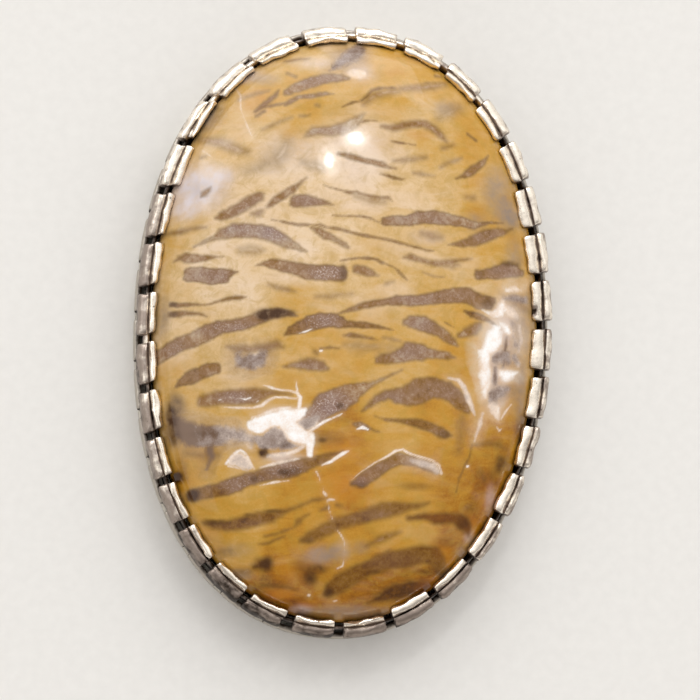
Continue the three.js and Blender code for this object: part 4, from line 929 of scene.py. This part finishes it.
# The darkest remains are smoother than the others.
calm = add_node(tree, "MapRange", {0: wood_tone, 1: 0.55, 2: 0.75, 3: 1.0, 4: 0.5})
wood = add_node(tree, "Math", {0: wood, 1: calm, 2: wood_tone}, operation="MULTIPLY_ADD")
wood = add_node(tree, "ValToRGB", {0: wood}, stops=WOOD)
mauve = add_node(tree, "MapRange", {0: clouds, 1: 0.35, 2: 0.65, 3: 1.0, 4: 0.4})
mauve = add_node(tree, "Math", {0: frost, 1: mauve}, operation="MULTIPLY")
rind = add_node(tree, "Math", {0: border, 1: 0.55}, operation="MULTIPLY")
frosted = add_node(tree, "MapRange", {0: frost, 1: 0.3, 2: 1.0, 3: 0.03, 4: 0.78})
glint = add_node(tree, "Math", {0: border, 1: -0.12, 2: crystals}, operation="MULTIPLY_ADD")
glint = add_node(tree, "MapRange", {0: glint, 1: 0.47, 2: 0.74, 3: 0.0, 4: frosted},
                 interpolation_type="SMOOTHSTEP")
for amount, shade in ((rust, SIENNA), (mauve, MAUVE), (rind, RIND), (glint, SPECKS)):
    wood = add_node(tree, "Mix", {0: amount, 6: wood, 7: linear(shade)}, 2, data_type="RGBA")
colour = add_node(tree, "Mix", {0: cover, 6: colour, 7: wood}, 2, data_type="RGBA")

smoke = add_node(tree, "Math", {0: torn, 1: 0.7, 2: quartz_and_glints_tone}, operation="MULTIPLY_ADD")
smoke = add_node(tree, "Math", {0: crystals, 1: 0.3, 2: smoke}, operation="MULTIPLY_ADD")
smoke = add_node(tree, "Math", {0: smoke, 1: 0.5}, operation="SUBTRACT")
clear = add_node(tree, "ValToRGB", {0: smoke}, stops=CLEAR)
wander = add_node(tree, "Math", {0: quartz_and_glints_edge, 1: 2.2}, operation="MULTIPLY")
part = add_node(tree, "Math", {0: lace, 1: 0.5}, operation="SUBTRACT")
part = add_node(tree, "Math", {0: part, 1: wander, 2: quartz_and_glints}, operation="MULTIPLY_ADD")
part = add_node(tree, "Math", {0: part, 1: quartz_and_glints_edge}, operation="DIVIDE")
milky = add_node(tree, "MapRange", {0: quartz_and_glints_edge, 1: 0.1, 2: 0.3, 3: 0.06, 4: 0.34})
milk = add_node(tree, "MapRange", {0: part, 1: -4.0, 2: 0.5, 3: 0.0, 4: milky},
                interpolation_type="SMOOTHSTEP")
part = add_node(tree, "MapRange", {0: part, 1: -0.9, 2: 1.1, 3: 0.0, 4: 1.0},
                interpolation_type="SMOOTHSTEP")
part = add_node(tree, "Math", {0: part, 1: milk}, operation="MAXIMUM")
colour = add_node(tree, "Mix", {0: part, 6: colour, 7: clear}, 2, data_type="RGBA")
stain = add_node(tree, "MapRange", {0: torn, 1: 0.3, 2: 0.6, 3: 0.75, 4: 1.4})
stain = add_node(tree, "Math", {0: umber, 1: stain}, operation="MULTIPLY", use_clamp=True)
colour = add_node(tree, "Mix", {0: stain, 6: colour, 7: linear(UMBER)}, 2, data_type="RGBA")
polish = add_node(tree, "MapRange", {0: crystals, 1: 0.3, 2: 0.7, 3: 0.05, 4: 0.09})
ripple = add_node(tree, "Bump", {"Height": torn, "Strength": 0.08, "Distance": 0.01 * MM})
finished(tree, add_node(tree, "BsdfPrincipled", {
    "Base Color": colour, "Roughness": polish, "IOR": 1.54, "Specular IOR Level": 0.32,
    "Normal": ripple}))

stone = add_piece("polished_petrified_wood", bm, stone_finish)
corners = np.empty(len(stone.data.vertices) * 3)
stone.data.vertices.foreach_get("co", corners)
stone_x, stone_y, _ = corners.reshape(-1, 3).T / MM
MARK_REACH, MARK_BLEND = 2.0, 0.12  # how far round a mark is measured, and how sharply two meet
DARK_TONE, DARK_SOFTENING = 0.6, 1.2  # the darkest remains have softer edges


def inside_mark(spine):
    """The stone's vertices near a mark, and how many millimetres inside it each one lies."""
    spine_x, spine_y, _ = zip(*spine)
    near = np.nonzero(
        (stone_x > min(spine_x) - MARK_REACH) & (stone_x < max(spine_x) + MARK_REACH)
        & (stone_y > min(spine_y) - MARK_REACH) & (stone_y < max(spine_y) + MARK_REACH))[0]
    x, y = stone_x[near], stone_y[near]
    depth = np.full(x.shape, -MARK_REACH)
    for (x1, y1, half1), (x2, y2, half2) in zip(spine, spine[1:]):
        step_x, step_y = x2 - x1, y2 - y1
        t = np.clip(((x - x1) * step_x + (y - y1) * step_y) / (step_x ** 2 + step_y ** 2), 0, 1)
        away = (np.abs(x - x1 - step_x * t) ** 3 + np.abs(y - y1 - step_y * t) ** 3) ** (1 / 3)
        depth = np.maximum(depth, half1 + (half2 - half1) * t - away)
    return near, depth


def clouded_by(clouds):
    """How strongly a list of clouds shows at each vertex of the stone."""
    clear = np.ones_like(stone_x)
    for x, y, half_width, half_height, strength in clouds:
        away = ((stone_x - x) / half_width) ** 2 + ((stone_y - y) / half_height) ** 2
        clear *= 1 - strength * np.exp(-away ** 1.5)
    return 1 - clear


fields = {"lilac": clouded_by(LILAC_CLOUDS), "ash": clouded_by(ASH_CLOUDS),
          "rust": clouded_by(RUST_CLOUDS), "umber": clouded_by(UMBER_STAINS),
          "frost": clouded_by(FROST)}
for name, marks in (("wood", FLAMES), ("quartz_and_glints", QUARTZ_AND_GLINTS)):
    # Where marks meet, the one that a point lies deeper in gives its tone and its softness.
    reached, weights = np.full_like(stone_x, -MARK_REACH), np.full_like(stone_x, 1e-5)
    tones, edges = weights * 0.5, weights * 0.1
    for tone, softness, spine in marks:
        near, depth = inside_mark(spine)
        reached[near] = np.maximum(reached[near], depth)
        weight = np.exp(np.clip(depth / MARK_BLEND, -11, 11))
        weights[near] += weight
        tones[near] += weight * tone
        softening = DARK_SOFTENING if name == "wood" and tone >= DARK_TONE else 1
        edges[near] += weight * softness * softening
    fields[name] = reached
    fields[name + "_tone"], fields[name + "_edge"] = tones / weights, edges / weights
pull = [1 / (0.15 + ((stone_x - x) ** 2 + (stone_y - y) ** 2) / reach ** 2) ** 2
        for x, y, reach, _ in WARMTH]
fields["warmth"] = sum(p * value for p, (_, _, _, value) in zip(pull, WARMTH)) / sum(pull)
for name, field in fields.items():
    stone.data.attributes.new(name, "FLOAT", "POINT").data.foreach_set("value", field)
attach(stone, "root")
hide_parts("petrified_wood_cabochon")


# ---- the bench, the lamps and the camera ----
# A sheet of matt white card in a pale room. Two large soft lamps light it from the far side and
# from the front, two at the far side and the left show only as broad light in the silver, and the
# small ones show as spots and fainter shades in the polish. The camera looks almost straight down.

CARD, CARD_FIBRE, CARD_HALF, ROOM_LIGHT = "#e9e7e3", "#e5e3df", 1500, 1.36
card_finish, tree, place = new_finish("matt_white_card")
fibres = add_node(tree, "TexNoise", {"Vector": place, "Scale": 1 / (0.8 * MM), "Detail": 5})
tint = add_node(tree, "MapRange", {0: fibres, 1: 0.3, 2: 0.7, 3: 0.0, 4: 1.0})
tint = add_node(tree, "Mix", {0: tint, 6: linear(CARD), 7: linear(CARD_FIBRE)}, 2, data_type="RGBA")
finished(tree, add_node(tree, "BsdfPrincipled", {"Base Color": tint, "Roughness": 0.85}))
bm = bmesh.new()
bmesh.ops.create_grid(bm, x_segments=8, y_segments=8, size=CARD_HALF)
card = add_piece("card", bm, card_finish)

room = bpy.data.worlds.new("room")
bpy.context.scene.world = room
room.use_nodes = True
room.node_tree.nodes.clear()
tree = room.node_tree
towards = add_node(tree, "TexCoord", output=0)
height = add_node(tree, "VectorMath", {0: towards, 1: (0.1, 0.62, 0.5)}, 1,
                  operation="DOT_PRODUCT")
lit = add_node(tree, "ValToRGB", {0: height}, stops=[
    (0, "#8f8b88"), (0.3, "#bebbb8"), (0.55, "#dedcda"), (0.9, "#ffffff")])
sky = tree.nodes.new("ShaderNodeOutputWorld")
tree.links.new(add_node(tree, "Background", {0: lit, 1: ROOM_LIGHT}), sky.inputs["Surface"])


def hang_lamp(name, shape, size, radiance, aim, direction, away, hidden_in=None):
    """Hangs a flat lamp that faces its aim; sizes in millimetres, radiance as the render sees it.
    hidden_in="glossy" keeps it out of reflections, and "diffuse" leaves it in reflections alone."""
    lamp = bpy.data.lights.new(name, "AREA")
    lamp.shape, lamp.size, lamp.size_y = shape, size[0] * MM, size[1] * MM
    area = lamp.size * lamp.size_y * (math.pi / 4 if shape == "ELLIPSE" else 1)
    lamp.energy = radiance * math.pi * area
    hung = bpy.data.objects.new(name, lamp)
    hung.location = (Vector(aim) + Vector(direction).normalized() * away) * MM
    hung.rotation_euler = Vector(direction).to_track_quat("Z", "Y").to_euler()
    bpy.context.scene.collection.objects.link(hung)
    hung.visible_glossy, hung.visible_diffuse = hidden_in != "glossy", hidden_in != "diffuse"


MIDDLE, LARGE_AWAY, SMALL_AWAY = (0, 0, 5), 900, 300
UPPER_SPOT = (0.2, 13.7, 7.91), (0.093, 0.528, 0.844)  # where it shows on the dome, and which way
LOWER_SPOT = (-1.8, 12.0, 8.18), (-0.002, 0.461, 0.887)
hang_lamp("softbox", "RECTANGLE", (1000, 700), 0.85, MIDDLE, (0.08, 0.62, 0.82), LARGE_AWAY,
          "glossy")
hang_lamp("low_fill", "RECTANGLE", (1200, 250), 2.6, MIDDLE, (-0.05, -0.95, 0.32), LARGE_AWAY,
          "glossy")
hang_lamp("spot_upper", "ELLIPSE", (12, 12), 70, *UPPER_SPOT, SMALL_AWAY)
hang_lamp("spot_lower", "ELLIPSE", (10, 13), 55, *LOWER_SPOT, SMALL_AWAY)
hang_lamp("shade_upper", "ELLIPSE", (32, 32), 6, *UPPER_SPOT, SMALL_AWAY + 1)
hang_lamp("shade_lower", "ELLIPSE", (32, 34), 6, *LOWER_SPOT, SMALL_AWAY + 1)
hang_lamp("far_strip", "RECTANGLE", (1600, 620), 2.2, MIDDLE, (-0.25, 0.86, 0.45), LARGE_AWAY,
          "diffuse")
hang_lamp("left_strip", "RECTANGLE", (1100, 460), 1.1, MIDDLE, (-0.9, 0.1, 0.42), LARGE_AWAY,
          "diffuse")
hang_lamp("far_lamp", "ELLIPSE", (22, 40), 7, (0.4, 18.8, 6.42), (0.103, 0.835, 0.540), SMALL_AWAY)

CAMERA_PLACE, CAMERA_BACK = (-21.30, -25.37, 251.91), (-0.08676, -0.09548, 0.99164)
CAMERA_ROLL, SENSOR, FOCAL_LENGTH = 1.07, 36, 173.83  # in degrees, then in millimetres
lens = bpy.data.cameras.new("camera")
lens.sensor_width, lens.lens, lens.clip_start = SENSOR, FOCAL_LENGTH, 0.01
camera = bpy.data.objects.new("camera", lens)
back = Vector(CAMERA_BACK).normalized()
right = Vector((0, 1, 0)).cross(back).normalized()
up = back.cross(right)
roll = math.radians(CAMERA_ROLL)
right, up = (right * math.cos(roll) + up * math.sin(roll),
             up * math.cos(roll) - right * math.sin(roll))
camera.matrix_world = Matrix.Translation(Vector(CAMERA_PLACE) * MM) @ Matrix(
    (right, up, back)).transposed().to_4x4()
bpy.context.scene.collection.objects.link(camera)
bpy.context.scene.camera = camera
bpy.context.scene.view_settings.view_transform = "Standard"
